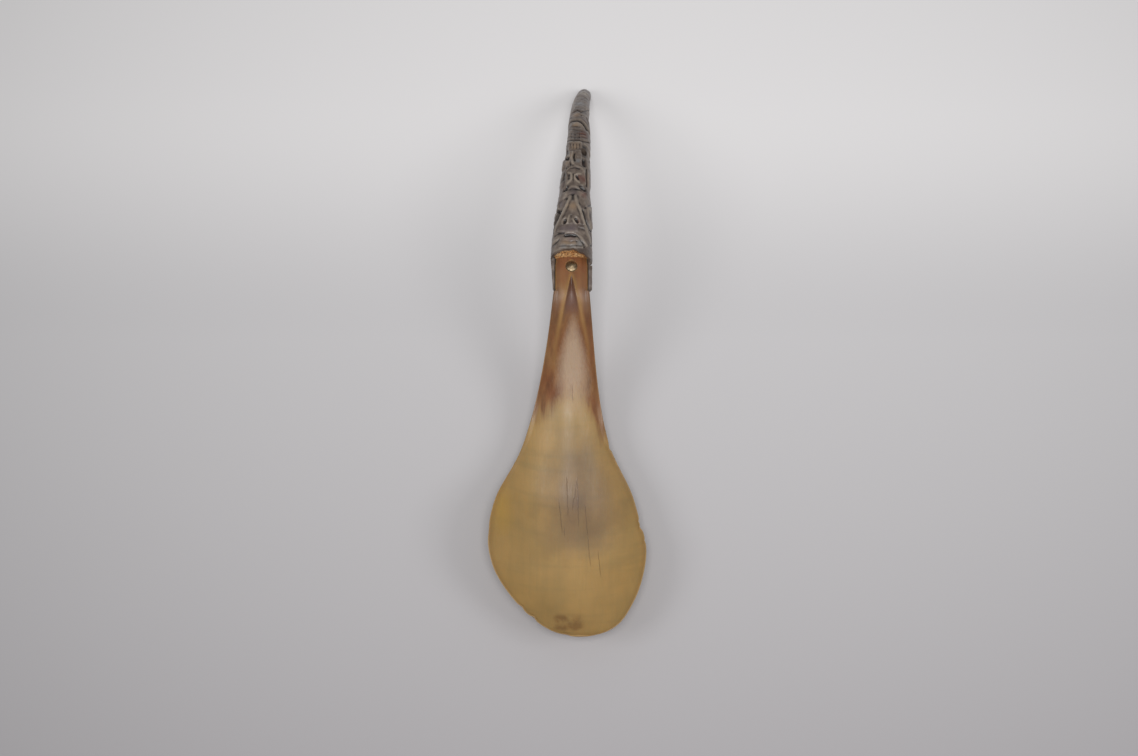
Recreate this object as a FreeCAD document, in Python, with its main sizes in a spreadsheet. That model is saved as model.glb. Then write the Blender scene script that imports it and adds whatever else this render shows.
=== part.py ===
"""Spoon of two pieces of horn: a dark carved handle and a steamed amber bowl.

The frame: +Z up, +Y from the bowl to the handle's tip, +X to the right of someone who looks along +Y.
The origin is the middle of the small worn flat under the bowl, where the spoon rests.
The spoon stands on that flat and on the tip of the handle, and the handle arches between them.
Lengths are in millimetres.
"""
import FreeCAD, Part
import math
import os
import Sketcher
from FreeCAD import Placement, Rotation, Vector

# Sizes: name, value, what it is
SIZES = [
    ("rest_to_toe", 42.4, "from the resting point to the toe, the front of the bowl's rim"),
    ("rest_to_neck", 36.0, "from the resting point to the neck, where the bowl becomes the stem"),
    ("rest_to_mouth", 107.0, "from the resting point to the socket's mouth"),
    ("toe_offset", 3.3, "how far the toe stands to the right of the resting point"),
    ("bowl_left_reach", 33.3, "the bowl's widest reach to the left"),
    ("bowl_right_reach", 29.9, "the bowl's widest reach to the right"),
    ("neck_left_reach", 20.6, "half width of the neck on the left"),
    ("neck_right_reach", 16.2, "half width of the neck on the right"),
    ("waist_half_width", 11.0, "half width half way along the stem"),
    ("stem_half_width", 7.3, "half width of the stem at its shoulders, under the flanges"),
    ("left_rim_height", 24.0, "height of the rim at the bowl's left side"),
    ("right_rim_height", 18.4, "height of the rim at the bowl's right side"),
    ("toe_height", 17.0, "height of the rim at the toe"),
    ("neck_height", 14.8, "height of the rim at the neck"),
    ("bowl_wall", 2.2, "the bowl's wall, measured upright"),
    ("stem_wall", 2.8, "the stem's wall under its channel, measured upright"),
    ("rest_flat_depth", 0.25, "how deep the resting flat is worn"),
    ("tongue_half_width", 6.5, "half width of the stem's tongue at the socket's mouth"),
    ("tongue_thickness", 5.2, "thickness of the tongue on its middle line"),
    ("tongue_crown", 1.5, "how far the tongue's middle line stands above its edges"),
    ("tongue_length", 15.0, "how far the tongue goes into the socket"),
    ("tongue_taper", 1.4, "how much narrower each side of the tongue is at its end"),
    ("channel_start", 7.6, "from the socket's mouth to the start of the channel in the stem"),
    ("channel_nose_length", 9.0, "half length of the gouge cut that starts the channel"),
    ("channel_nose_width", 7.0, "width of that cut"),
    ("channel_nose_depth", 1.6, "depth of that cut"),
    ("shoulder_step", 0.35, "how much the stem stands proud of the tongue, above and below"),
    ("toe_blunt", 7.0, "width of the blunt end of the toe"),
    ("shoulder_gap", 0.3, "gap between the flanges' ends and the stem's shoulders"),
    ("socket_gap", 0.6, "gap between the tongue and each side of the socket"),
    ("socket_end_gap", 1.0, "gap between the tongue's end and the socket's end"),
    ("socket_back_wall", 1.8, "thickness of the socket's back wall"),
    ("lip_wall", 1.9, "thickness of the socket's front wall at its crown"),
    ("flange_length", 13.0, "how far the socket's back and sides run past its mouth"),
    ("flange_drop", 0.7, "how far the flanges' edges lie under the tongue's middle line"),
    ("wedge_length", 11.0, "how deep the packing wedge goes into the socket"),
    ("wedge_set_back", 0.3, "how far the foot of the packing wedge lies inside the mouth"),
    ("wedge_slope", 1.2, "how far the wedge's front face leans back from its foot to its top"),
    ("mouth_to_rivet", 3.0, "from the socket's mouth to the rivet"),
    ("rivet_radius", 1.2, "radius of the rivet's shank"),
    ("rivet_clearance", 0.02, "gap between the rivet and its hole"),
    ("rivet_head_radius", 2.3, "radius of the rivet's domed head"),
    ("rivet_head_height", 0.9, "height of the rivet's domed head"),
    ("rivet_tail_radius", 1.9, "radius of the hammered tail"),
    ("rivet_tail_height", 0.7, "height of the hammered tail"),
    ("rivet_seat_depth", 0.45, "depth of the flat seats that the head and the tail lie in"),
    ("rivet_seat_margin", 0.25, "how much wider a seat is than what lies in it"),
    ("bend_radius", 116.0, "radius of the handle's middle line"),
    ("straight_length", 5.0, "straight stretch of the handle behind the mouth"),
    ("tip_lean", 5.5, "how far the tip leans to the right"),
    ("mouth_half_width", 8.5, "half width of the handle at its mouth"),
    ("mouth_half_depth", 7.4, "half depth of the handle at its mouth"),
    ("depth_ratio", 0.95, "the handle's depth over its width past the socket"),
    ("large_head_length", 31.5, "length of the large head, the lowest figure"),
    ("large_head_top", 6.3, "half width at the top of the large head"),
    ("ear_radius", 1.9, "half width of the large head's ears"),
    ("brow_length", 17.0, "length of the long grooves beside the large head's nose"),
    ("brow_width", 1.9, "width of those grooves"),
    ("nostril_length", 4.6, "length of a nostril"),
    ("mouth_line_width", 8.0, "width of the large head's mouth"),
    ("small_head_length", 14.0, "length of the small head"),
    ("small_head_base", 6.2, "half width at the base of the small head"),
    ("small_head_top", 5.5, "half width at the top of the small head"),
    ("eye_length", 4.2, "length of an eye hollow of the small head"),
    ("paw_radius", 2.0, "radius of the paw beside the small head"),
    ("knees_length", 11.5, "length of the drawn-up knees"),
    ("knees_half_width", 4.9, "half width of the knees"),
    ("pierced_length", 4.6, "length of the hole pierced beside the knees"),
    ("rings_length", 15.0, "length of the stack of rings"),
    ("rings_half_width", 4.7, "half width of the rings"),
    ("ring_pitch", 3.0, "length of one ring with its groove"),
    ("ring_groove", 0.35, "depth of the grooves between the rings"),
    ("beak_face_length", 13.0, "length of the small face under the tip"),
    ("beak_face_half_width", 4.25, "half width of the small face"),
    ("pit_radius", 0.8, "radius of the small face's eyes"),
    ("tip_length", 26.0, "length of the plain tip"),
    ("tip_base", 4.0, "half width at the base of the plain tip"),
    ("tip_end", 3.25, "half width where the tip's end begins to round"),
    ("tip_round", 2.6, "length of the rounding at the tip's end"),
    ("tip_flat", 0.2, "how deep the flat is worn that the tip rests on"),
    ("carving_depth", 1.0, "depth of the carved hollows"),
]

doc = FreeCAD.newDocument("HornSpoon")
sheet = doc.addObject("Spreadsheet::Sheet", "Sizes")
for row, (alias, value, meaning) in enumerate(SIZES, 1):
    sheet.set(f"A{row}", alias)
    sheet.set(f"B{row}", str(value))
    sheet.setAlias(f"B{row}", alias)
    sheet.set(f"C{row}", meaning)
doc.recompute()


def size(alias):
    return float(sheet.get(alias))


# Curves and simple solids


def line(start, end):
    return Part.LineSegment(start, end).toShape()


def bezier(*poles):
    curve = Part.BezierCurve()
    curve.setPoles(list(poles))
    return curve.toShape()


def polygon(*points):
    return Part.Face(Part.makePolygon(list(points) + [points[0]]))


def blend(share, *values):
    """Point of a cubic curve through the first and the last of four values."""
    rest = 1 - share
    weights = (rest**3, 3 * rest**2 * share, 3 * rest * share**2, share**3)
    return sum(weight * value for weight, value in zip(weights, values))


def add(kind, name, **properties):
    made = doc.addObject(kind, name)
    for key, value in properties.items():
        setattr(made, key, value)
    return made


def solid(name, shape):
    return add("Part::Feature", name, Shape=shape)


def bound(thing, **formulas):
    """Ties the object's sizes to cells of the sheet."""
    for key, formula in formulas.items():
        thing.setExpression(key, formula)
    return thing


def cylinder(name, x, y, z, radius, height):
    made = bound(add("Part::Cylinder", name), Radius=radius, Height=height)
    made.Placement = Placement(Vector(x, y, z), Rotation())
    return made


# The handle's middle line: straight behind the mouth, then one arc down to the table
TIP_NARROWING = 0.55  # half width of the tip's end over that where it begins to round
LEAN_POWER = 1.25  # above 1, most of the lean to the right comes near the tip
FIGURES = ("large_head", "small_head", "knees", "rings", "beak_face", "tip")
handle_length = sum(size(figure + "_length") for figure in FIGURES)
handle_turn = (handle_length - size("straight_length")) / size("bend_radius")
tip_end_half = TIP_NARROWING * size("tip_end")
arc_drop = size("bend_radius") * (1 - math.cos(handle_turn))
joint_height = arc_drop + tip_end_half * math.cos(handle_turn) - size("tip_flat")
mouth_y = size("rest_to_mouth")


def start_of(figure):
    return sum(size(lower + "_length") for lower in FIGURES[: FIGURES.index(figure)])


def spine(along):
    """Point on the middle line, the direction of the line there, and the way its carved front faces."""
    turn = max(along - size("straight_length"), 0) / size("bend_radius")
    run = min(along, size("straight_length")) + size("bend_radius") * math.sin(turn)
    drop = size("bend_radius") * (1 - math.cos(turn))
    lean = size("tip_lean") * (max(along, 0) / handle_length) ** LEAN_POWER
    point = Vector(lean, mouth_y + run, joint_height - drop)
    return point, Vector(0, math.cos(turn), -math.sin(turn)), Vector(0, math.sin(turn), math.cos(turn))


def ring(centre, half_width, rise, fall):
    """Closed oval round a centre, with its own vectors to the front and to the back."""
    side = Vector(half_width, 0, 0)
    ahead, behind = rise * (4 / 3), fall * (4 / 3)
    return Part.Wire(
        [
            bezier(centre - side, centre - side + ahead, centre + side + ahead, centre + side),
            bezier(centre + side, centre + side + behind, centre - side + behind, centre - side),
        ]
    )


def oval(along, half_width, half_depth):
    centre, _, out = spine(along)
    return ring(centre, half_width, out * half_depth, out * -half_depth)


def horn(name, *sections, ruled=False):
    """Solid through ovals given as (distance along the handle, half width, half depth)."""
    rings = [oval(along, width, depth) for along, width, depth in sections]
    return solid(name, Part.makeLoft(rings, True, ruled))


# The joint, on which the tongue, the socket, the wedge and the rivet agree
back_height = joint_height - size("mouth_half_depth")
floor_height = back_height + size("socket_back_wall")
crown_height = floor_height + size("tongue_thickness")
edge_height = crown_height - size("tongue_crown")
roof_height = joint_height + size("mouth_half_depth") - size("lip_wall")
flange_end_y = mouth_y - size("flange_length")
shoulder_y = flange_end_y - size("shoulder_gap")
tongue_end_y = mouth_y + size("tongue_length")
rivet_y = mouth_y - size("mouth_to_rivet")

# Where the bowl and the stem lie, and the heights that their sections pass through
INSIDE_SHARE = 0.4  # height of the neck's inside, as a share of the way from the keel to the rim
DEEPEST_SHARE = 0.45  # where the bowl is deepest, as a share of the way from neck to toe
LEFT_PEAK_SHARE, RIGHT_PEAK_SHARE = 0.45, 0.7  # where each side of the rim is highest
TOE_LIP_HEIGHT = 0.4  # how far the inside stays under the rim at the toe
RIM_SHARE = 0.55  # thickness of the rim over that of the wall
toe_y = -size("rest_to_toe")
neck_y = size("rest_to_neck")
keel = size("bowl_wall") - size("rest_flat_depth")
neck_inside = keel + INSIDE_SHARE * (size("neck_height") - keel)


def ease(share):
    """Smooth step from 0 to 1."""
    share = min(max(share, 0), 1)
    return share * share * (3 - 2 * share)


def rim_height(share, peak, peak_share):
    """Height of one side of the rim, from the neck over its peak to the toe."""
    if share < peak_share:
        return size("neck_height") + (peak - size("neck_height")) * ease(share / peak_share)
    return peak + (size("toe_height") - peak) * ease((share - peak_share) / (1 - peak_share))


def inside_height(share):
    """Height of the inside of the bowl on its middle line, deepest a little before half way."""
    if share < DEEPEST_SHARE:
        return keel + (neck_inside - keel) * (1 - share / DEEPEST_SHARE) ** 2.5
    rise = size("toe_height") - TOE_LIP_HEIGHT - keel
    return keel + rise * ((share - DEEPEST_SHARE) / (1 - DEEPEST_SHARE)) ** 3


# Shares of the way from neck to toe, and of the widest reach to the left and to the right
BOWL_OUTLINE = [
    (0.12, 0.745, 0.675),
    (0.26, 0.895, 0.83),
    (0.40, 0.978, 0.925),
    (0.53, 1.0, 1.0),
    (0.66, 0.93, 0.97),
    (0.77, 0.775, 0.89),
    (0.86, 0.59, 0.775),
    (0.93, 0.40, 0.645),
    (0.975, 0.22, 0.47),
]


def section(y, left, right, left_rim, inside, right_rim, wall):
    """Closed crescent across the spoon: the underside, two rims and the inside, each a parabola."""
    middle = (left + right) / 2
    lip = RIM_SHARE * wall
    sag = (left_rim + right_rim) / 2

    def pole(height):
        return Vector(middle, y, height)

    inner = [Vector(left, y, left_rim), pole(2 * inside - sag), Vector(right, y, right_rim)]
    outer = [
        Vector(left, y, left_rim - lip),
        pole(2 * (inside - wall) - (sag - lip)),
        Vector(right, y, right_rim - lip),
    ]
    return Part.Wire(
        [bezier(*outer), line(outer[-1], inner[-1]), bezier(*reversed(inner)), line(inner[0], outer[0])]
    )


def stem_sections():
    """From the shoulders to just above the neck: a round-backed bar that opens into a channel."""
    run, neck = shoulder_y - neck_y, size("neck_height")
    top_start = crown_height + size("shoulder_step")
    under_start = floor_height - size("shoulder_step")
    fall = top_start - neck
    open_share = 0.6  # past this share of the sections the channel is fully open
    neck_under = neck_inside - size("stem_wall")
    waist, stem = size("waist_half_width"), size("stem_half_width")
    sections = []
    for share in (0, 0.13, 0.26, 0.39, 0.52, 0.65, 0.78, 0.9):
        y = blend(share, shoulder_y, shoulder_y - 0.17 * run, neck_y + 0.46 * run, neck_y)
        top = blend(share, top_start, top_start - 0.02 * fall, neck - 0.18 * fall, neck)
        under = blend(share, under_start, under_start - 0.02 * fall, neck_under - 0.16 * fall, neck_under)
        way = (shoulder_y - y) / run
        left = -blend(way, stem, waist - 1.4, waist + 3.2, size("neck_left_reach"))
        right = blend(way, stem, waist - 1.7, waist - 0.5, size("neck_right_reach"))
        opened = ease(share / open_share)
        inside = (1 - opened) * top + opened * (under + size("stem_wall"))
        edge = top - size("tongue_crown") * (1 - opened)
        sections.append(section(y, left, right, edge, inside, edge, inside - under))
    return sections


def bowl_sections():
    """From the neck to the blunt end of the toe."""
    length = neck_y - toe_y
    wall = size("bowl_wall")
    neck = size("neck_height")
    neck_left, neck_right = -size("neck_left_reach"), size("neck_right_reach")
    sections = [section(neck_y, neck_left, neck_right, neck, neck_inside, neck, size("stem_wall"))]
    left_reach, right_reach = size("bowl_left_reach"), size("bowl_right_reach")
    ends = [(share, -left * left_reach, right * right_reach) for share, left, right in BOWL_OUTLINE]
    half = size("toe_blunt") / 2
    ends.append((1, size("toe_offset") - half, size("toe_offset") + half))
    for share, left, right in ends:
        left_rim = rim_height(share, size("left_rim_height"), LEFT_PEAK_SHARE)
        right_rim = rim_height(share, size("right_rim_height"), RIGHT_PEAK_SHARE)
        sections.append(
            section(neck_y - share * length, left, right, left_rim, inside_height(share), right_rim, wall)
        )
    return sections


def tongue_bar():
    """The straight tongue: round below, with a low crown on top, and narrower at its end."""
    depth = joint_height - floor_height
    tongue = size("tongue_half_width")
    end = tongue - size("tongue_taper")
    rings = []
    for y, half in ((shoulder_y, tongue), (mouth_y, tongue), (tongue_end_y, end)):
        fall = Vector(0, 0, -depth * 4 / 3)
        left, right = Vector(-half, y, joint_height), Vector(half, y, joint_height)
        rings.append(Part.Wire([bezier(left, left + fall, right + fall, right), line(right, left)]))
    round_below = Part.makeLoft(rings, True, True)
    rise = size("tongue_crown") / tongue**2
    reach = tongue + 2
    low, high = crown_height - rise * reach**2, crown_height + rise * reach**2
    crown = bezier(*[Vector(x, shoulder_y, z) for x, z in ((-reach, low), (0, high), (reach, low))])
    corners = [
        Vector(reach, shoulder_y, low),
        Vector(reach, shoulder_y, floor_height - 2),
        Vector(-reach, shoulder_y, floor_height - 2),
        Vector(-reach, shoulder_y, low),
    ]
    sides = [line(start, end) for start, end in zip(corners, corners[1:])]
    under_crown = Part.Face(Part.Wire([crown] + sides))
    return round_below.common(under_crown.extrude(Vector(0, tongue_end_y - shoulder_y + 1, 0)))


# The bowl: one piece of amber horn with its channelled stem and the tongue that goes into the handle
spoon = solid("bowl_and_stem", Part.makeLoft(stem_sections() + bowl_sections(), True))
tongue = solid("tongue", tongue_bar())
joined = add("Part::Fuse", "bowl_joined", Base=spoon, Tool=tongue)
groove_y = mouth_y - size("channel_start") - size("channel_nose_length")
groove = bound(
    add("Part::Ellipsoid", "channel_nose"),
    Radius1="Sizes.channel_nose_depth", Radius2="Sizes.channel_nose_width / 2",
    Radius3="Sizes.channel_nose_length",
)
groove.Placement = Placement(Vector(0, groove_y, crown_height), Rotation())
channelled = add("Part::Cut", "bowl_channelled", Base=joined, Tool=groove)
table = bound(
    add("Part::Box", "table_under_bowl"), Length="4 * Sizes.bowl_left_reach", Width="4 * Sizes.rest_to_toe"
)
table.Placement = Placement(
    Vector(-2 * size("bowl_left_reach"), -2 * size("rest_to_toe"), -table.Height.Value), Rotation()
)
rested = add("Part::Cut", "bowl_rested", Base=channelled, Tool=table)
head_seat = cylinder(
    "head_seat", 0, rivet_y, crown_height - size("rivet_seat_depth"),
    "Sizes.rivet_head_radius + Sizes.rivet_seat_margin", "Sizes.tongue_thickness",
)
seated = add("Part::Cut", "bowl_seated", Base=rested, Tool=head_seat)
bowl_hole = cylinder(
    "bowl_rivet_hole", 0, rivet_y, floor_height - 1,
    "Sizes.rivet_radius + Sizes.rivet_clearance", "2 * Sizes.tongue_thickness",
)
bowl = add("Part::Cut", "bowl", Base=seated, Tool=bowl_hole)


# The rivet: a shank, a domed head in front and a hammered tail behind


def dome(radius, height, top):
    """Centre height, radius and edge angle of the arc that rises to a height over a base radius."""
    arc = (radius**2 + height**2) / (2 * height)
    centre = top - arc
    return centre, arc, math.asin((arc - height) / arc)


def rivet_body():
    body = add("PartDesign::Body", "rivet")
    plane = next(feature for feature in body.Origin.OriginFeatures if feature.Role == "XZ_Plane")
    sketch = body.newObject("Sketcher::SketchObject", "rivet_profile")
    sketch.AttachmentSupport = (plane, [""])
    sketch.MapMode = "FlatFace"
    head, tall, shank = size("rivet_head_radius"), size("rivet_head_height"), size("rivet_radius")
    tail, short = size("rivet_tail_radius"), size("rivet_tail_height")
    grip = size("tongue_thickness") + size("socket_back_wall") - 2 * size("rivet_seat_depth")
    top_centre, top_arc, top_angle = dome(head, tall, tall)
    low_centre, low_arc, low_angle = dome(tail, short, short)
    head_circle = Part.Circle(Vector(0, top_centre, 0), Vector(0, 0, 1), top_arc)
    tail_circle = Part.Circle(Vector(0, -grip - low_centre, 0), Vector(0, 0, 1), low_arc)
    sketch.addGeometry(
        [
            Part.LineSegment(Vector(0, -grip - short, 0), Vector(0, tall, 0)),
            Part.ArcOfCircle(head_circle, top_angle, math.pi / 2),
            Part.LineSegment(Vector(head, 0, 0), Vector(shank, 0, 0)),
            Part.LineSegment(Vector(shank, 0, 0), Vector(shank, -grip, 0)),
            Part.LineSegment(Vector(shank, -grip, 0), Vector(tail, -grip, 0)),
            Part.ArcOfCircle(tail_circle, -math.pi / 2, -low_angle),
        ],
        False,
    )
    start, end, centre, origin, flat_axis, upright_axis = 1, 2, 3, -1, -1, -2
    joins = [
        (0, end, 1, end), (1, start, 2, start), (2, end, 3, start),
        (3, end, 4, start), (4, end, 5, end), (5, start, 0, start),
    ]
    sketch.addConstraint([Sketcher.Constraint("Coincident", *join) for join in joins])
    sketch.addConstraint(
        [
            Sketcher.Constraint("PointOnObject", 0, start, upright_axis),
            Sketcher.Constraint("PointOnObject", 0, end, upright_axis),
            Sketcher.Constraint("PointOnObject", 1, centre, upright_axis),
            Sketcher.Constraint("PointOnObject", 5, centre, upright_axis),
            Sketcher.Constraint("PointOnObject", 2, start, flat_axis),
            Sketcher.Constraint("Horizontal", 2),
            Sketcher.Constraint("Vertical", 3),
            Sketcher.Constraint("Horizontal", 4),
        ]
    )
    measures = [
        ("head_radius", ("DistanceX", origin, start, 2, start), head, "Sizes.rivet_head_radius"),
        ("head_height", ("DistanceY", origin, start, 0, end), tall, "Sizes.rivet_head_height"),
        ("shank_radius", ("DistanceX", origin, start, 3, start), shank, "Sizes.rivet_radius"),
        ("tail_radius", ("DistanceX", origin, start, 4, end), tail, "Sizes.rivet_tail_radius"),
        ("tail_height", ("DistanceY", 5, start, 4, end), short, "Sizes.rivet_tail_height"),
        (
            "grip", ("DistanceY", 3, end, 3, start), grip,
            "Sizes.tongue_thickness + Sizes.socket_back_wall - 2 * Sizes.rivet_seat_depth",
        ),
    ]
    for name, where, value, formula in measures:
        index = sketch.addConstraint(Sketcher.Constraint(*where, value))
        sketch.renameConstraint(index, name)
        sketch.setExpression(f"Constraints.{name}", formula)
    doc.recompute()
    turned = body.newObject("PartDesign::Revolution", "rivet_turned")
    turned.Profile = sketch
    turned.ReferenceAxis = (sketch, ["V_Axis"])
    turned.Angle = 360
    body.Placement = Placement(Vector(0, rivet_y, crown_height - size("rivet_seat_depth")), Rotation())
    return body


rivet = rivet_body()


# The handle: one dark horn, hollow at its base, carved as a pile of figures


def handle_figures():
    """The outside of each figure from the mouth to the tip, as solids of their own."""
    ratio = size("depth_ratio")
    mouth, depth = size("mouth_half_width"), size("mouth_half_depth")
    top = size("large_head_top")
    large = size("large_head_length")
    pieces = [
        horn(
            "large_head",
            (-size("flange_length"), mouth, depth),
            (0, mouth, depth),
            (0.3 * large, mouth - 0.55, depth - 0.3),
            (0.6 * large, (mouth + top) / 2 - 0.1, (depth + top * ratio) / 2 + 0.2),
            (large, top, top * ratio),
        )
    ]
    ends = {
        "small_head": (size("small_head_base"), size("small_head_top")),
        "knees": (size("knees_half_width"), size("knees_half_width")),
        "beak_face": (size("beak_face_half_width"), size("beak_face_half_width")),
    }
    for figure, (base, over) in ends.items():
        start, length = start_of(figure), size(figure + "_length")
        pieces.append(horn(figure, (start, base, base * ratio), (start + length, over, over * ratio)))
    pieces += ring_stack(ratio)
    start, round_start = start_of("tip"), handle_length - size("tip_round")
    base, tip = size("tip_base"), size("tip_end")
    pieces.append(horn("tip", (start, base, base * ratio), (round_start, tip, tip * ratio)))
    shoulder = 0.88 * tip
    pieces.append(
        horn(
            "tip_rounding",
            (round_start, tip, tip * ratio),
            (handle_length - 0.4 * size("tip_round"), shoulder, shoulder * ratio),
            (handle_length, tip_end_half, tip_end_half),
            ruled=True,
        )
    )
    return pieces


def ring_stack(ratio):
    """A core with as many rings round it as fit, each a little longer than the groove that parts it."""
    start, length = start_of("rings"), size("rings_length")
    half = size("rings_half_width")
    core = half - size("ring_groove")
    edge = half - 0.3 * size("ring_groove")
    groove_share = 0.12  # half the width of a groove, as a share of the pitch
    pieces = [horn("rings_core", (start, core, core * ratio), (start + length, core, core * ratio))]
    count = max(1, int(length / size("ring_pitch")))
    pitch = length / count
    for ring in range(count):
        low = start + (ring + groove_share) * pitch
        high = start + (ring + 1 - groove_share) * pitch
        middle = (low + high) / 2
        low_edge, high_edge = (low, edge, edge * ratio), (high, edge, edge * ratio)
        pieces.append(horn(f"ring_{ring + 1}", low_edge, (middle, half, half * ratio), high_edge))
    return pieces


def on_front(along, across, sunk, spin=0.0):
    """Placement on the carved front: X across it, Y along the handle, Z out of it, sunk below the surface."""
    point, ahead, out = spine(along)
    turn = Rotation(Vector(1, 0, 0), ahead, out, "ZXY").multiply(Rotation(Vector(0, 0, 1), spin))
    return Placement(point + Vector(across, 0, 0) + out * sunk, turn)


def hollow_form(
    name, figure, share, across, width, length, spin=0.0, depth="2 * Sizes.carving_depth",
):
    """Egg-shaped form on the front of a figure. Its place is a share of the figure's length and half width."""
    along = start_of(figure) + share * size(figure + "_length")
    half, front = figure_size(figure, share)
    surface = front * math.sqrt(max(0.0, 1 - across**2))
    form = bound(
        add("Part::Ellipsoid", name), Radius1=depth, Radius2=f"({width}) / 2", Radius3=f"({length}) / 2"
    )
    form.Placement = on_front(along, across * half, surface + size("carving_depth"), spin)
    return form


def figure_size(figure, share):
    """Half width and half depth of a figure part way up it."""
    ratio = size("depth_ratio")
    if figure == "large_head":
        half = size("mouth_half_width") + share * (size("large_head_top") - size("mouth_half_width"))
        depth = size("mouth_half_depth")
        front = depth + share * (size("large_head_top") * ratio - depth)
        return half, front
    if figure == "small_head":
        half = size("small_head_base") + share * (size("small_head_top") - size("small_head_base"))
        return half, half * ratio
    half = size(figure + "_half_width")
    return half, half * ratio


def carved_hollows():
    """Grooves, nostrils, mouths and eyes of the figures, and the hole pierced beside the knees."""
    slot = "Sizes.carving_depth"
    cuts = []
    for side, name in ((-1, "left"), (1, "right")):
        cuts.append(
            hollow_form(
                f"brow_groove_{name}", "large_head", 0.72, 0.4 * side,
                "Sizes.brow_width", "Sizes.brow_length", 17 * side,
            )
        )
        cuts.append(
            hollow_form(
                f"nostril_{name}", "large_head", 0.46, 0.42 * side,
                "Sizes.nostril_length / 2", "Sizes.nostril_length", 22 * side,
            )
        )
        cuts.append(
            hollow_form(
                f"eye_{name}", "small_head", 0.45, 0.62 * side,
                "Sizes.eye_length / 2", "Sizes.eye_length", 8 * side,
            )
        )
        cuts.append(
            hollow_form(
                f"pit_{name}", "beak_face", 0.6, 0.42 * side,
                "2 * Sizes.pit_radius", "2 * Sizes.pit_radius", 0, "Sizes.pit_radius + Sizes.carving_depth",
            )
        )
    cuts.append(
        hollow_form(
            "mouth_line", "large_head", 0.31, -0.12, "Sizes.mouth_line_width", f"2 * {slot}",
        )
    )
    pierced = bound(
        add("Part::Ellipsoid", "pierced_hole"),
        Radius1="3 * Sizes.knees_half_width", Radius2="Sizes.pierced_length / 4",
        Radius3="Sizes.pierced_length / 2",
    )
    along = start_of("knees") + 0.62 * size("knees_length")
    pierced.Placement = on_front(along, 0.58 * size("knees_half_width"), 0)
    cuts.append(pierced)
    return cuts


def raised_forms():
    """The large head's ears and the paw that lies beside the small head."""
    forms = []
    for side, name in ((-1, "left"), (1, "right")):
        half, _ = figure_size("large_head", 0.8)
        ear = bound(
            add("Part::Ellipsoid", f"ear_{name}"),
            Radius1="1.6 * Sizes.ear_radius", Radius2="Sizes.ear_radius", Radius3="2.2 * Sizes.ear_radius",
        )
        across = side * (half - size("ear_radius") + 0.5)
        ear.Placement = on_front(0.8 * size("large_head_length"), across, 0)
        forms.append(ear)
    paw = bound(add("Part::Sphere", "paw"), Radius="Sizes.paw_radius")
    half, front = figure_size("small_head", 0.15)
    along = start_of("small_head") + 0.15 * size("small_head_length")
    paw.Placement = on_front(along, 0.75 * size("paw_radius") - half, 0.3 * front)
    forms.append(paw)
    return forms


def socket_space(gap_start):
    """The natural hollow of the horn, from the flanges' ends to behind the tongue."""
    half = size("tongue_half_width") + size("socket_gap")
    end_half = half - size("tongue_taper")
    depth, front = joint_height - floor_height, roof_height - joint_height
    end_y = tongue_end_y + size("socket_end_gap")
    end_front = crown_height - joint_height + 0.35 * (roof_height - crown_height)
    places = ((gap_start, half, front), (mouth_y, half, front), (end_y, end_half, end_front))
    fall = Vector(0, 0, -depth)
    rings = [ring(Vector(0, y, joint_height), width, Vector(0, 0, rise), fall) for y, width, rise in places]
    return Part.makeLoft(rings, True, True)


figures = add("Part::MultiFuse", "handle_figures", Shapes=handle_figures() + raised_forms())
carved = add(
    "Part::Cut", "handle_figures_carved",
    Base=figures, Tool=add("Part::MultiFuse", "handle_hollows", Shapes=carved_hollows()),
)
open_socket = solid("socket", socket_space(flange_end_y - 1))
hollow_handle = add("Part::Cut", "handle_with_socket", Base=carved, Tool=open_socket)
lap = bound(
    add("Part::Box", "lap_cut"),
    Length="4 * Sizes.mouth_half_width", Width="2 * Sizes.flange_length",
    Height="4 * Sizes.mouth_half_depth",
)
lap.Placement = Placement(
    Vector(
        -2 * size("mouth_half_width"), mouth_y - 2 * size("flange_length"), crown_height - size("flange_drop")
    ),
    Rotation(),
)
lapped = add("Part::Cut", "handle_lapped", Base=hollow_handle, Tool=lap)
ground = bound(
    add("Part::Box", "table_under_tip"),
    Length="8 * Sizes.tip_lean + 8 * Sizes.tip_end", Width="Sizes.rest_to_mouth",
)
ground.Placement = Placement(
    Vector(-size("tip_lean") - 4 * size("tip_end"), mouth_y + 0.5 * handle_length, -ground.Height.Value),
    Rotation(),
)
grounded = add("Part::Cut", "handle_grounded", Base=lapped, Tool=ground)
tail_seat = cylinder(
    "tail_seat", 0, rivet_y, back_height + size("rivet_seat_depth") - 2 * size("mouth_half_depth"),
    "Sizes.rivet_tail_radius + Sizes.rivet_seat_margin", "2 * Sizes.mouth_half_depth",
)
handle_hole = cylinder(
    "handle_rivet_hole", 0, rivet_y, back_height - 1,
    "Sizes.rivet_radius + Sizes.rivet_clearance", "2 * Sizes.mouth_half_depth",
)
tailed = add("Part::Cut", "handle_seated", Base=grounded, Tool=tail_seat)
carved_handle = add("Part::Cut", "carved_handle", Base=tailed, Tool=handle_hole)


# The packing wedge: pale wood driven in between the tongue and the socket's roof


def wedge_bar():
    """The wedge's side outline, as wide as the socket, with a front face that leans back."""
    half = size("mouth_half_width")
    foot = mouth_y + size("wedge_set_back")
    top = foot + size("wedge_slope")
    end = mouth_y + size("wedge_length")
    low, high = edge_height - 1, roof_height + 1
    corners = ((foot, low), (top, high), (end, high), (end, low))
    return polygon(*[Vector(-half, y, z) for y, z in corners]).extrude(Vector(2 * half, 0, 0))


in_socket = add("Part::Common", "wedge_in_socket", Base=solid("wedge_bar", wedge_bar()), Tool=open_socket)
packing_wedge = add("Part::Cut", "packing_wedge", Base=in_socket, Tool=tongue)

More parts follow.
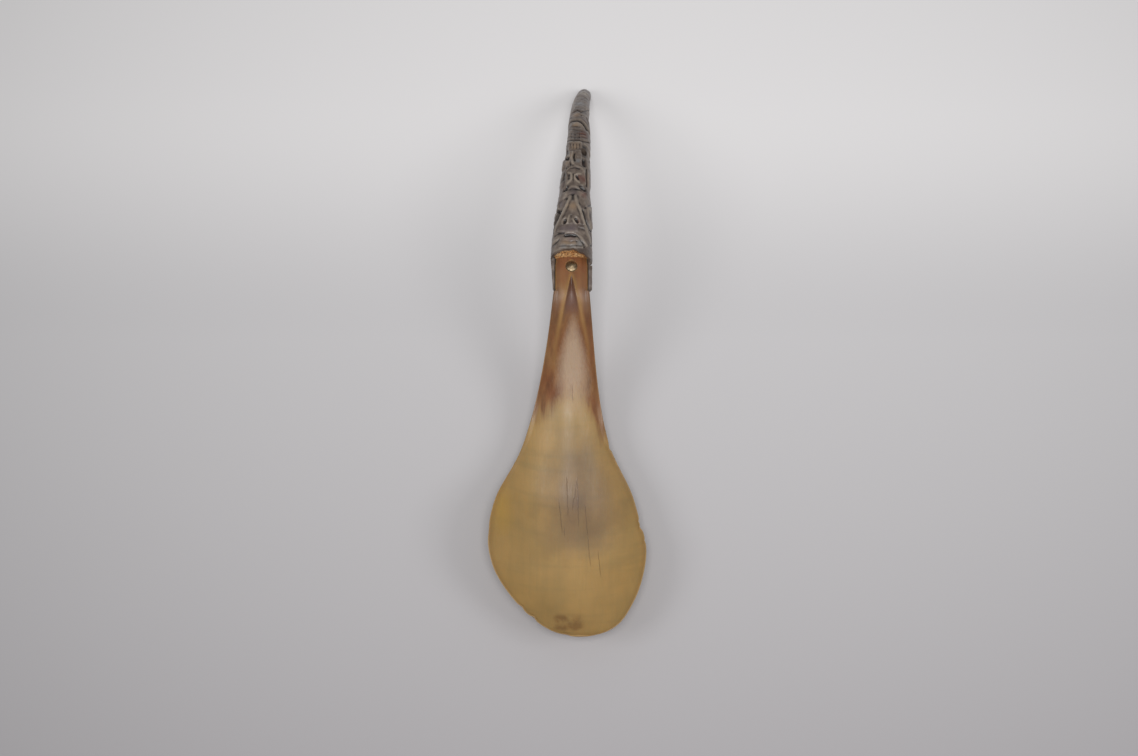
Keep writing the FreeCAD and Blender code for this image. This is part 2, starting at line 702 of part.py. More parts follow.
doc.recompute()
faults = [made.Name for made in doc.Objects if {"Invalid", "Error"} & set(made.State)]
pieces = (bowl, carved_handle, rivet, packing_wedge)
for piece in pieces:
    piece.Label = piece.Name
    shape = piece.Shape
    if shape.isNull() or not shape.isValid() or len(shape.Solids) != 1:
        faults.append(piece.Name)
    box = shape.BoundBox
    print(piece.Name, len(shape.Solids), round(shape.Volume, 1), box)
if faults:
    raise RuntimeError("These did not come out right: " + ", ".join(faults))
os.makedirs("parts", exist_ok=True)
for piece in pieces:
    piece.Shape.exportStep(os.path.join("parts", piece.Label + ".step"))
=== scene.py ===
import math

import bpy
import numpy as np
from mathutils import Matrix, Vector


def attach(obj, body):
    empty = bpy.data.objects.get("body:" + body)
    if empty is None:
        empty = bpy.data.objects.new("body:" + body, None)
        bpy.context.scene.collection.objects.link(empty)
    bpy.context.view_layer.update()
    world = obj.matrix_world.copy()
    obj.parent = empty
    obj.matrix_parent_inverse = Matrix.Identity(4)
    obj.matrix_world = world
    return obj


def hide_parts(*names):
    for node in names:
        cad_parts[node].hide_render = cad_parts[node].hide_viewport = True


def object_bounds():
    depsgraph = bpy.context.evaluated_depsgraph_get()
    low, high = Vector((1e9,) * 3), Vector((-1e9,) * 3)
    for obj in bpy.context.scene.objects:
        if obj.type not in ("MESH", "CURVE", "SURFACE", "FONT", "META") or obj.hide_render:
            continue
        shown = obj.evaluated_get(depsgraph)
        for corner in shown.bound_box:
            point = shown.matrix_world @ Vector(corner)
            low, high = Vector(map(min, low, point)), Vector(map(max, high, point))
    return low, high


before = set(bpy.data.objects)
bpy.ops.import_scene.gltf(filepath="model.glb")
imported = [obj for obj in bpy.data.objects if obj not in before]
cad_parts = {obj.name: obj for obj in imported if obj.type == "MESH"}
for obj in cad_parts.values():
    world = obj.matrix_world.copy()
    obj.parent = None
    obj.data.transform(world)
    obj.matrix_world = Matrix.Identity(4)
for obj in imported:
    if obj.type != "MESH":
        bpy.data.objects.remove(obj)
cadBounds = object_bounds()
mm = 0.001  # lengths below are millimetres and become metres where a mesh is made
print("horn spoon: the frame is in")

# The photograph: one camera high above the spoon, tilted a little towards the handle
photo = {
    "width": 1138,
    "height": 756,
    "target": (-1.0, 65.0, 20.0),
    "distance": 950.0,
    "tilt": 20.0,  # degrees away from straight down
    "lens": 73.3,
    "sensor": 36.0,
}
tilt = math.radians(photo["tilt"])
lookAhead = np.array((0, math.sin(tilt), -math.cos(tilt)))
lookUp = np.array((0, math.cos(tilt), math.sin(tilt)))
cameraPlace = np.array(photo["target"]) - photo["distance"] * lookAhead


def toPhoto(points):
    away = points - cameraPlace
    scale = photo["lens"] / photo["sensor"] * photo["width"] / (away @ lookAhead)
    return photo["width"] / 2 + scale * away[..., 0], photo["height"] / 2 - scale * (away @ lookUp)


# Small helpers for meshes: everything is deselected first, because an operator acts on all that is selected


def ready(piece=None):
    if bpy.context.object and bpy.context.object.mode != "OBJECT":
        bpy.ops.object.mode_set(mode="OBJECT")
    bpy.ops.object.select_all(action="DESELECT")
    if piece:
        piece.select_set(True)
        bpy.context.view_layer.objects.active = piece


def blend(share, *values):
    # cubic curve from the first value to the fourth
    rest = 1 - share
    weights = (rest**3, 3 * rest**2 * share, 3 * rest * share**2, share**3)
    return sum(weight * value for weight, value in zip(weights, values))


def ease(share):
    share = np.clip(share, 0, 1)
    return share * share * (3 - 2 * share)


def paint(piece, name, values):
    # one number for each vertex, for the material to read
    layer = piece.data.attributes.new(name, "FLOAT", "POINT")
    layer.data.foreach_set("value", values.astype(np.float32).ravel())


def openMesh():
    bpy.ops.object.mode_set(mode="EDIT")
    bpy.ops.mesh.select_all(action="SELECT")


def closeMesh():
    bpy.ops.mesh.select_all(action="SELECT")
    bpy.ops.mesh.normals_make_consistent(inside=False)
    bpy.ops.object.mode_set(mode="OBJECT")


def wrapGrid(name, places, layers=None):
    # a grid primitive laid round the piece: places[row, column] in mm, the last column on the first
    rows, columns = places.shape[:2]
    ready()
    bpy.ops.mesh.primitive_grid_add(x_subdivisions=columns - 1, y_subdivisions=rows - 1, size=1)
    piece = bpy.context.object
    piece.name = piece.data.name = name
    piece.data.vertices.foreach_set("co", (places * mm).astype(np.float32).ravel())
    piece.data.update()
    for layerName, values in (layers or {}).items():
        paint(piece, layerName, values)
    openMesh()
    bpy.ops.mesh.remove_doubles(threshold=0.002 * mm)
    bpy.ops.mesh.fill_holes(sides=0)
    closeMesh()
    return piece


def turned(name, steps, segments):
    # a circle extruded and widened step by step along the rivet's line: radius and height of each step
    ready()
    radius, height = steps[0]
    bpy.ops.mesh.primitive_circle_add(
        vertices=segments, radius=radius * mm, fill_type="NGON",
        location=(0, joint["rivetY"] * mm, height * mm)
    )
    piece = bpy.context.object
    piece.name = piece.data.name = name
    bpy.ops.object.transform_apply(location=True, rotation=True, scale=True)
    openMesh()
    for newRadius, newHeight in steps[1:]:
        bpy.ops.mesh.extrude_region_move(
            TRANSFORM_OT_translate={"value": (0, 0, (newHeight - height) * mm)}
        )
        factor = newRadius / radius
        bpy.ops.transform.resize(
            value=(factor, factor, 1), center_override=(0, joint["rivetY"] * mm, newHeight * mm)
        )
        radius, height = newRadius, newHeight
    closeMesh()
    return piece


def openCube(place, size):
    ready()
    bpy.ops.mesh.primitive_cube_add(
        size=1, location=[part * mm for part in place], scale=[part * mm for part in size]
    )
    bpy.ops.object.transform_apply(location=True, rotation=True, scale=True)
    openMesh()
    return bpy.context.object


def cutAway(piece, *cutters):
    for cutter in cutters:
        ready(piece)
        cut = piece.modifiers.new("cut", "BOOLEAN")
        cut.operation = "DIFFERENCE"
        cut.solver = "EXACT"
        cut.object = cutter
        bpy.ops.object.modifier_apply(modifier=cut.name)
        bpy.data.objects.remove(cutter)


def finishPiece(piece, material, node):
    ready(piece)
    bpy.ops.object.shade_smooth_by_angle(angle=math.radians(42))
    piece.data.materials.clear()
    piece.data.materials.append(material)
    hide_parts(node)
    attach(piece, "root")
    piece.data.calc_loop_triangles()
    print(piece.name, len(piece.data.loop_triangles), "triangles")


# Small helpers for materials


def linear(hexColour):
    parts = [int(hexColour[place : place + 2], 16) / 255 for place in (1, 3, 5)]
    return tuple(
        part / 12.92 if part < 0.04045 else ((part + 0.055) / 1.055) ** 2.4 for part in parts
    ) + (1,)


def addNode(tree, kind, inputs=None, **settings):
    node = tree.nodes.new("ShaderNode" + kind)
    for key, value in settings.items():
        setattr(node, key, value)
    for key, value in (inputs or {}).items():
        if isinstance(value, bpy.types.NodeSocket):
            tree.links.new(value, node.inputs[key])
        else:
            node.inputs[key].default_value = value
    return node.outputs


def readLayers(tree, *names):
    return {name: addNode(tree, "Attribute", attribute_name=name)["Fac"] for name in names}


def patterns(tree, place, sizes):
    # noises laid on a place: cells per metre along each axis, detail and roughness
    noises = []
    for scale, detail, rough in sizes.values():
        stretched = addNode(tree, "Mapping", {"Vector": place, "Scale": scale})[0]
        noises.append(addNode(tree, "TexNoise", {
            "Vector": stretched, "Scale": 1.0, "Detail": detail, "Roughness": rough
        })["Fac"])
    return noises


def over(tree, colour, share, under, low=0.0, high=1.0, most=1.0, **settings):
    # lays a colour over another where a pattern runs from low to high
    colour, under = (linear(value) if isinstance(value, str) else value for value in (colour, under))
    limits = {"Value": share, "From Min": low, "From Max": high, "To Max": most}
    strength = addNode(tree, "MapRange", limits, **settings)[0]
    return addNode(tree, "Mix", {0: strength, 6: under, 7: colour}, data_type="RGBA")[2]


def shade(material, inputs):
    shader = addNode(material.node_tree, "BsdfPrincipled", inputs)
    addNode(material.node_tree, "OutputMaterial", {"Surface": shader[0]})
    return material


def newMaterial(name):
    material = bpy.data.materials.new(name)
    material.use_nodes = True
    tree = material.node_tree
    tree.nodes.clear()
    return material, tree


# Sizes that the pieces share with the CAD model
joint = {
    "mouthY": 107.0,
    "height": 46.05,  # of the handle's middle line at the mouth
    "floor": 40.45,
    "crown": 45.65,  # of the tongue's middle line
    "roof": 51.55,
    "back": 38.65,
    "tongueHalf": 6.5,
    "tongueTaper": 1.4,
    "tongueCrown": 1.5,
    "tongueEndY": 122.0,
    "shoulderY": 93.7,
    "rivetY": 104.0,
    "seatDepth": 0.45,
    "room": 0.6,  # between tongue and socket
    "swelling": 0.045,  # of the tongue between the flanges, as a share of its width
    "lipRise": 1.9,  # how far the middle of the lip stands back behind its corners
    "lipHang": 0.9,  # how far its right half hangs lower
}

# Tools that cut the horn, in millimetres: the rivet's drill, the saw cut below the mouth, a chip and a slit
drill = {"radius": 1.22, "below": 36.0, "above": 54.0, "past": 8.0, "segments": 48}
lap = {
    "startY": 92.0,
    "middleY": 94.0,
    "size": (34.0, 26.0, 20.0),
    "belowCrown": 0.7,
    "bendFrom": 97.0,
    "bendOver": 9.0,
    "lipX": -0.8,
    "lipHalf": 8.2,
    "lipBack": 0.35,
    "hangX": 2.2,
}
flangeChip = {"place": (8.6, 104.9, 44.4), "size": (2.6, 0.9, 3.6), "bevel": 0.3}
slit = {"place": (584.5, 152.3), "halves": (1.25, 2.3, 14.0), "aside": 3.2}  # its place in the photograph

# ---- the carved handle
handle = {
    "start": -13.0,  # ends of the flanges, measured along the horn from the mouth
    "length": 111.0,
    "straight": 5.0,
    "bend": 116.0,
    "lean": 5.5,
    "rowsUnder": 14,
    "rowsAlong": 400,
    "rowsRounding": 26,
    "columnsFront": 132,
    "columnsBack": 34,  # on each side of the seam
    "rounding": 2.6,
    "wear": 0.03,  # height of the knife marks that are left
    "platesRise": 1.3,
    "strokesRise": 1.25,
    "lowEnd": 12.0,  # near the mouth the front stays inside the horn's own outline
    "lowRise": 0.3,
    "hollowPasses": 22,  # how wide the form is that hollows and ridges are told from
}

# The outline of the pile of figures: along the horn, half width, half depth, how far it stands to the right
hornStations = {
    "flanges": (-13.0, 8.0, 7.4, 0.4),
    "mouth": (0.0, 8.5, 7.1, 0.0),
    "lowerLip": (3.5, 8.4, 6.95, 0.0),
    "chin": (8.0, 8.15, 6.85, 0.0),
    "cheeks": (15.0, 7.65, 6.95, 0.18),
    "muzzleTop": (19.5, 7.15, 6.8, 0.2),
    "ears": (24.0, 7.05, 6.5, 0.28),
    "earTips": (28.0, 6.5, 6.2, 0.25),
    "collarLow": (31.2, 6.25, 5.9, 0.25),
    "collar": (33.0, 6.4, 5.95, 0.25),
    "smallJaw": (37.0, 6.25, 5.85, 0.35),
    "smallBrow": (43.0, 5.75, 5.6, 0.45),
    "kneesLow": (46.0, 5.45, 5.2, 0.42),
    "knees": (52.0, 5.0, 4.85, 0.62),
    "kneesTop": (56.5, 5.1, 4.7, 0.55),
    "block": (61.0, 4.9, 4.65, 0.5),
    "rings": (66.0, 4.7, 4.5, 0.4),
    "ringsTop": (72.0, 4.55, 4.4, 0.05),
    "beak": (77.0, 4.2, 4.2, -0.3),
    "beakTop": (84.5, 4.05, 4.0, -0.24),
    "tipBase": (86.5, 4.0, 3.85, -0.28),
    "tipMiddle": (97.0, 3.5, 3.55, -0.22),
    "tipEnd": (108.4, 2.95, 3.1, 0.25),
}


def hornLine(along):
    turn = np.maximum(along - handle["straight"], 0) / handle["bend"]
    run = np.minimum(along, handle["straight"]) + handle["bend"] * np.sin(turn)
    drop = handle["bend"] * (1 - np.cos(turn))
    lean = handle["lean"] * (np.maximum(along, 0) / handle["length"]) ** 1.25
    return np.stack([lean, joint["mouthY"] + run, joint["height"] - drop], -1), turn


def ovalAcross(share):
    return blend(share, -1, -1, 1, 1), 4 * share * (1 - share)


def bareHorn():
    under = np.linspace(handle["start"], 0, handle["rowsUnder"], endpoint=False)
    roundStart = handle["length"] - handle["rounding"]
    body = np.linspace(0, roundStart, handle["rowsAlong"])
    end = roundStart + handle["rounding"] * np.sin(np.linspace(0, math.pi / 2, handle["rowsRounding"]))[1:]
    along = np.concatenate([under, body, end])
    stations = np.array(list(hornStations.values()))
    half, deep, aside = (np.interp(along, stations[:, 0], stations[:, column]) for column in (1, 2, 3))
    closing = np.clip((along - roundStart) / handle["rounding"], 0, 1)
    narrowing = np.sqrt(np.maximum(1 - closing**2, 0))
    half, deep = half * narrowing, deep * narrowing
    frontX, frontY = ovalAcross(np.linspace(0, 1, handle["columnsFront"]))
    backShare = np.linspace(0, 1, 2 * handle["columnsBack"] + 1)
    backX, backY = ovalAcross(backShare)
    middle = handle["columnsBack"]
    # seam at the back: to the left side, over the carved front, down the right side and back
    unitX = np.concatenate([-backX[middle:-1], frontX, backX[::-1][1 : middle + 1]])
    unitY = np.concatenate([-backY[middle:-1], frontY, -backY[::-1][1 : middle + 1]])
    centre, turn = hornLine(along)
    out = np.stack([np.zeros_like(turn), np.sin(turn), np.cos(turn)], -1)
    places = centre[:, None, :] + out[:, None, :] * (deep[:, None] * unitY[None, :])[..., None]
    places[..., 0] += half[:, None] * unitX[None, :] + aside[:, None]
    return along, places


def outward(places):
    down = np.gradient(places, axis=0)
    sideways = np.roll(places[:, :-1], -1, axis=1) - np.roll(places[:, :-1], 1, axis=1)
    sideways = np.concatenate([sideways, sideways[:, :1]], axis=1)
    normal = np.cross(sideways, down)
    return normal / np.maximum(np.linalg.norm(normal, axis=-1, keepdims=True), 1e-9)


# The carving. Plates are planes that stand proud, or lie deeper below zero: height in mm, how soft their edge
# is in mm, and their outline. Strokes are ridges and cuts: height in mm, half width in mm, and where they
# run. All are places in the photograph, which the script carries over to the horn's own surface.
plates = {
    "noseWedge": (0.34, 0.9, [
        (571.6, 196), (574.6, 196), (577.2, 203.5), (580, 209.5), (582, 216), (584.4, 223), (586.4, 229.5),
        (577, 227), (569, 227), (557, 229), (560.6, 218.5), (564.6, 209.5), (568.4, 201)
    ]),
    "upperLip": (0.26, 0.5, [(558.6, 227.4), (577.6, 226.6), (578.2, 231.4), (568, 232), (557.6, 232)]),
    "lowerJaw": (0.26, 0.5, [
        (559.6, 237.4), (577.8, 236.8), (581.4, 240), (584, 245.6), (583, 247.8), (559, 247.9)
    ]),
    "cheekRight": (0.16, 0.6, [
        (578, 231.5), (586.6, 232), (590.4, 243), (590, 247.5), (586.8, 247.4), (584.6, 242), (581, 237.6)
    ]),
    "earRight": (0.36, 0.6, [(586.8, 207), (592.4, 206.6), (593, 230.4), (590.4, 229), (588, 218)]),
    "earLeft": (0.34, 0.6, [(555, 213.4), (558.6, 214), (556.4, 224), (553.8, 231), (552.4, 224)]),
    "hairBand": (0.22, 0.6, [
        (562.6, 193.8), (567, 190.6), (573, 189), (579.4, 190.6), (583.4, 193.6), (580.4, 195.8),
        (573, 193.4), (566.4, 195.8)
    ]),
    "templeLeft": (-0.25, 0.7, [
        (566.5, 197), (568.6, 198), (565, 206), (561, 211), (559.2, 210), (558.4, 203)
    ]),
    "smallFace": (0.24, 0.6, [
        (566.4, 172), (569.5, 168), (573, 166.6), (578, 166.2), (582, 168), (585, 172), (586, 185.5),
        (580, 186.4), (575, 185), (568, 186.6), (565.6, 184)
    ]),
    "knees": (0.24, 0.5, [
        (569.6, 151.6), (581.4, 151.4), (581.6, 159), (580.6, 165.6), (575, 165.2), (569.8, 163.4)
    ]),
    "block": (0.3, 0.4, [(567.8, 142.4), (581.8, 142), (581.8, 150.6), (569.4, 151), (567.6, 147)]),
    "mask": (0.22, 0.5, [(571.6, 122.8), (580.4, 122.6), (584, 126.6), (571.4, 126.6)]),
    "tipPanel": (-0.16, 0.6, [(576.8, 96.4), (584.6, 96.4), (585.2, 110), (577, 109)]),
}
largeHead = {
    "ridgeLeft": (0.34, 1.1, [
        (570.3, 196.6), (567.9, 201.8), (566, 206.2), (563.8, 210.4), (560.2, 218.4), (556.3, 227.3),
        (554.4, 232.9)
    ]),
    "ridgeRight": (0.36, 0.95, [
        (575.2, 196.3), (576.4, 200.6), (577.6, 204.8), (580.2, 210.1), (581.9, 216.2), (584.1, 222.9),
        (586.9, 231.2), (590, 241.8)
    ]),
    "ridgeLeftOuter": (0.2, 0.55, [(566.6, 194.2), (563, 198.6)]),
    "templeEdgeRight": (0.16, 0.5, [(582.6, 198.6), (586.9, 207.9)]),
    "foreheadGap": (-0.3, 0.55, [(572.9, 195.5), (572.9, 199.8)]),
    "noseGrooveLeft": (-0.22, 0.9, [(570.6, 201.5), (567.6, 208.8), (563.6, 217.6)]),
    "noseGrooveRight": (-0.22, 0.7, [(575.8, 202.5), (578, 209.4), (580, 214.8)]),
    "bridge": (0.3, 1.9, [(573, 202), (572.6, 209.5), (572, 213)]),
    "grooveLeft": (-0.5, 1.15, [(561.2, 210.4), (558.7, 216), (555.6, 223.5), (553.6, 229.4)]),
    "grooveRight": (-0.6, 0.8, [
        (583.2, 210.6), (585.2, 217), (587.4, 223.4), (590.4, 231.4), (592.2, 241.6)
    ]),
    "underEarTip": (-0.3, 0.5, [(584.8, 208.2), (588.6, 206.4), (592, 206.6)]),
    "earStripe": (-0.25, 0.45, [(589, 213), (589.6, 221), (591, 229.4)]),
    "notchLeft": (-1.0, 1.0, [(556.8, 211.3), (559.4, 211.5)]),
    "notchRight": (-0.5, 0.6, [(591, 231.4), (593, 231.2)]),
    "notchJaw": (-0.45, 0.6, [(590.4, 245.8), (592.8, 245.8)]),
    "notchLip": (-0.35, 0.6, [(552.6, 233), (554.8, 233)]),
    "nostrilHollowLeft": (-0.65, 1.0, [(565.2, 221), (564.8, 223)]),
    "nostrilLineLeft": (0.24, 0.42, [(569.4, 216.2), (568.5, 219.5), (567.6, 222.9)]),
    "nostrilRimLeft": (0.22, 0.42, [(561.9, 224.9), (564.7, 225.6), (566.9, 224.8)]),
    "nostrilSideLeft": (0.15, 0.4, [(562.6, 223.6), (563.2, 220), (565.2, 217.4)]),
    "nostrilPit": (-0.3, 0.4, [(571.2, 216)]),
    "septum": (-0.25, 0.4, [(571.9, 218.5), (571.9, 221.4)]),
    "nostrilLineRight": (0.26, 0.42, [(572.3, 218.8), (574.7, 222.3), (576.4, 224.2)]),
    "nostrilHollowRight": (-0.65, 0.8, [(575.6, 219.8), (577.4, 222.2)]),
    "nostrilArcRight": (0.16, 0.42, [
        (573, 216.8), (575.2, 215.8), (577.6, 217.3), (579.4, 220.7), (578.8, 223.6)
    ]),
    "mouthHollow": (-0.5, 1.15, [(566, 235.6), (570.5, 235.2), (575, 235.8)]),
    "mouthArch": (0.22, 0.45, [
        (565.6, 233.8), (568.6, 232.9), (573, 232.4), (576.9, 234), (581.3, 237.9), (584.7, 242.3),
        (586.9, 245.9)
    ]),
    "underArch": (-0.38, 0.5, [(576.6, 236.2), (580, 239.6), (583, 243.6), (584.4, 247)]),
    "lipLine": (0.16, 0.4, [(562.4, 239.6), (570, 240.2), (577.6, 239.8)]),
    "lipCut": (-0.28, 0.4, [(560, 241), (570, 241.2), (576, 241)]),
    "toothTick": (0.16, 0.4, [(570.2, 242), (570.2, 244.4)]),
    "blockCut": (-0.24, 0.4, [(576.6, 241), (576.8, 245.8)]),
    "chinCut": (-0.28, 0.4, [(559.8, 246), (570, 246), (582, 246.2)]),
    "cheekArc": (0.22, 0.5, [(552.8, 243.6), (556.4, 239.8), (559.1, 237.5)]),
    "cheekCut": (-0.3, 0.5, [(552.2, 247), (556.6, 242), (559, 240)]),
    "cheekLine": (0.16, 0.45, [(555.2, 246.8), (559.1, 245)]),
    "underLip": (-0.34, 0.5, [(554.6, 236.4), (558.2, 233.8), (563.8, 233.2)]),
}
smallHead = {
    "browArch": (0.24, 0.5, [
        (566.5, 172), (569.5, 168.3), (572.5, 166.7), (577.5, 166.2), (581, 167.7), (583.2, 170.6)
    ]),
    "browShade": (-0.28, 0.5, [(571, 168.6), (575, 168), (579, 169.2)]),
    "browKnob": (0.22, 0.8, [(583.5, 172.3)]),
    "eyeArcLeft": (0.27, 0.45, [
        (568.3, 173), (570.5, 173.5), (571.9, 176), (571.6, 179), (570, 181.6), (568.3, 183.2)
    ]),
    "eyeHollowLeft": (-0.4, 0.8, [(569, 175.6), (568.8, 179.2)]),
    "eyeTopRight": (0.3, 0.45, [(574.9, 175.6), (577.5, 174.3), (580.6, 174.4)]),
    "eyeLowRight": (0.3, 0.45, [(574.3, 175.8), (575, 178.6), (577, 181.2), (579.2, 182.9)]),
    "eyeHollowRight": (-0.5, 0.75, [(577, 176.8), (578.4, 179.6)]),
    "noseCut": (-0.18, 0.5, [(573.2, 174), (573.2, 182)]),
    "sideCut": (-0.55, 0.5, [(586.6, 169), (586.4, 176), (586.6, 186)]),
    "sideRidge": (0.24, 0.5, [(588.2, 173.6), (588.3, 180), (588.5, 187)]),
    "cornerRight": (-0.8, 1.1, [(581, 186.8), (584.6, 189.6)]),
    "cornerLeft": (-0.8, 1.1, [(567, 187.2), (564.6, 190)]),
    "paw": (0.4, 1.2, [(562.4, 184.4), (562.2, 187)]),
    "pawRidge": (0.16, 0.5, [(560.9, 180.5), (561.3, 187)]),
    "collarArc": (0.28, 0.6, [(568, 188), (571.5, 186.7), (575, 186.5), (579.2, 187.8)]),
    "underCollar": (-0.3, 0.7, [(566.8, 190.6), (573, 189.4), (580.6, 190.4)]),
    "templeHollow": (-0.34, 0.8, [(564.2, 174), (563.4, 180)]),
}
limbs = {
    "bulge": (0.5, 1.5, [(563.8, 162.5), (563.2, 169)]),
    "bulgePit": (-0.6, 0.45, [(566.2, 168.4)]),
    "bulgeHollow": (-0.32, 0.6, [(564.2, 165.8)]),
    "limbLine": (0.22, 0.5, [(567.4, 166.4), (568.4, 164), (569.7, 162.3)]),
    "waistNotch": (-1.2, 1.1, [(566.2, 158.4), (568.6, 158.6)]),
    "waistNotchRight": (-0.5, 0.6, [(589.2, 162), (591, 162)]),
    "kneeRidge": (0.32, 0.55, [(573, 151.8), (572.4, 156), (572.5, 160), (573, 163.8), (575, 165.5)]),
    "kneeRidgeLeft": (0.22, 0.5, [(570.8, 152), (570.6, 158), (571.6, 163)]),
    "kneeCut": (-0.4, 0.5, [(574.6, 154.4), (574, 157.6), (574.8, 161.2)]),
    "kneeCutLeft": (-0.28, 0.45, [(570.3, 160.6), (570.5, 165)]),
    "kneeKnob": (0.3, 0.6, [(578, 157.6)]),
    "kneeBar": (0.2, 0.5, [(576, 151.5), (582, 151.4)]),
    "hollowRight": (-0.85, 1.3, [(584, 160.6), (584.6, 165.2)]),
    "limbOutline": (0.27, 0.45, [(584.2, 144.2), (587.4, 147.4), (589.4, 152), (590, 157.5)]),
    "shoulderHollow": (-0.6, 0.95, [(566.6, 151), (566.9, 154.4)]),
}
ringStack = {
    "blockLine": (0.16, 0.45, [(569.8, 143.2), (575, 142.9), (580.6, 143)]),
    "cellA": (-0.26, 0.35, [(571, 144.6), (571, 148.6)]),
    "cellB": (-0.26, 0.35, [(573.6, 144.4), (573.6, 148.6)]),
    "cellC": (-0.26, 0.35, [(576.6, 144.2), (576.6, 148.6)]),
    "cellD": (-0.26, 0.35, [(579.5, 144.2), (579.5, 148.6)]),
    "blockLowCut": (-0.32, 0.4, [(570, 149.6), (581, 149.4)]),
    "blockTopCut": (-0.5, 0.45, [(566.2, 141.4), (574, 141.2), (583, 141.4), (589, 142.8)]),
    "ringLine": (0.16, 0.4, [(569, 139.6), (574, 139.4), (580, 139.8)]),
    "ringCutA": (-0.3, 0.4, [(566.6, 137.6), (575, 137.4), (587, 138.4)]),
    "ringCutB": (-0.3, 0.4, [(567, 134.6), (575, 134.4), (585, 135)]),
    "ringCutC": (-0.3, 0.4, [(568.2, 130.6), (577, 130.4), (582, 131.2)]),
    "squareA": (-0.22, 0.35, [(571, 131.5), (571, 140)]),
    "squareB": (-0.22, 0.35, [(575, 131.5), (575, 140.4)]),
    "squareC": (-0.22, 0.35, [(579.4, 131.5), (579.4, 140.4)]),
    "maskCut": (-0.28, 0.35, [(573, 126.9), (580, 126.9)]),
    "maskDash": (0.16, 0.35, [(576.5, 128.4)]),
    "ringNotch": (-0.35, 0.6, [(567.2, 132), (568.8, 132)]),
}
beakAndTip = {
    "arch": (-0.75, 0.95, [
        (568, 128.6), (568.4, 124.8), (570.4, 121.8), (575, 120.6), (580, 120.8), (583.6, 123.6),
        (586.6, 127.8), (589.6, 133)
    ]),
    "archWide": (-0.4, 1.1, [(580.5, 121.6), (584, 125), (587, 129.6)]),
    "archCrest": (0.22, 0.5, [(583.6, 119.4), (586, 122.2), (588.4, 126)]),
    "beakEyeRight": (-0.65, 0.5, [(581.4, 115.4)]),
    "beakEyeLeft": (-0.5, 0.45, [(571, 118)]),
    "beakKnob": (0.22, 0.4, [(575, 119.4)]),
    "beakCheek": (0.16, 1.2, [(576, 114.6)]),
    "beakSide": (-0.38, 0.5, [(586.6, 117.6), (588.4, 123)]),
    "tipBase": (-0.34, 0.5, [
        (570.8, 114.2), (574, 112), (577.4, 110.2), (581, 112.2), (585, 110.8), (589.6, 110.6)
    ]),
    "tipNotch": (-0.5, 0.5, [(577.5, 109.8)]),
    "tipArcInner": (-0.18, 0.35, [(585, 97.6), (587.6, 99.8), (589.8, 103.2)]),
    "tipArcOuter": (-0.18, 0.35, [(586.4, 94), (588.6, 96.6), (590.2, 100)]),
}
# Where the horn is tinted and where highlights are painted: which tint, the place in the photograph, and its
# reach in mm. The red and purple tints are age tints, except archBack's purple, a painted highlight; the
# palest tints are painted highlights on the ear tip and the handle's tip; the grey and tan tints are age
# tints with painted highlights among them, on raised parts
tintsAndHighlights = {
    "hollowBrow": ("red", 583.6, 194.4, 2.0), "faceRight": ("red", 583.6, 179.6, 2.4),
    "eyeRight": ("red", 577.8, 178, 1.2), "limbRight": ("red", 583, 134, 2.6),
    "pawPit": ("red", 565.6, 188.6, 1.2), "nostrilRight": ("red", 577.1, 221.8, 1.2),
    "nostrilLeft": ("red", 565, 222, 0.9), "mouth": ("red", 571, 235.4, 1.8),
    "slit": ("red", 584, 163, 1.6), "forehead": ("purple", 573, 191.6, 2.4),
    "templeLeft": ("purple", 560.8, 204.6, 1.8), "lipLeft": ("purple", 563, 229.6, 2.0),
    "lipRight": ("purple", 572, 229.4, 2.0), "paw": ("purple", 562.4, 185, 1.4),
    "archBack": ("purple", 585, 120, 1.6), "lowerLip": ("purple", 571, 238.4, 2.2),
    "earTip": ("paintedHighlight", 588.9, 209.6, 0.9), "tipEnd": ("paintedHighlight", 585, 94, 1.8),
    "jawRight": ("greyAndSheen", 580, 243, 1.7), "chinLeft": ("greyAndSheen", 564, 247, 1.6),
    "chinRight": ("greyAndSheen", 573, 247, 1.6), "earSide": ("greyAndSheen", 591, 218, 2.0),
    "tipLow": ("greyAndSheen", 580, 103, 2.6), "kneeGrey": ("greyAndSheen", 578, 161, 1.4),
    "block": ("tanAndSheen", 575, 146.6, 2.4), "kneeTan": ("tanAndSheen", 571.6, 157, 2.2),
    "maskTan": ("tanAndSheen", 576, 124.4, 1.8), "beakTan": ("tanAndSheen", 576, 115, 2.2),
    "noseTan": ("tanAndSheen", 573, 207, 2.2), "jawTan": ("tanAndSheen", 566, 243.2, 2.2),
    "ridgeTan": ("tanAndSheen", 566, 206, 1.2), "limbTan": ("tanAndSheen", 567, 163, 1.4),
    "mouthTan": ("tanAndSheen", 574, 244, 1.6),
}
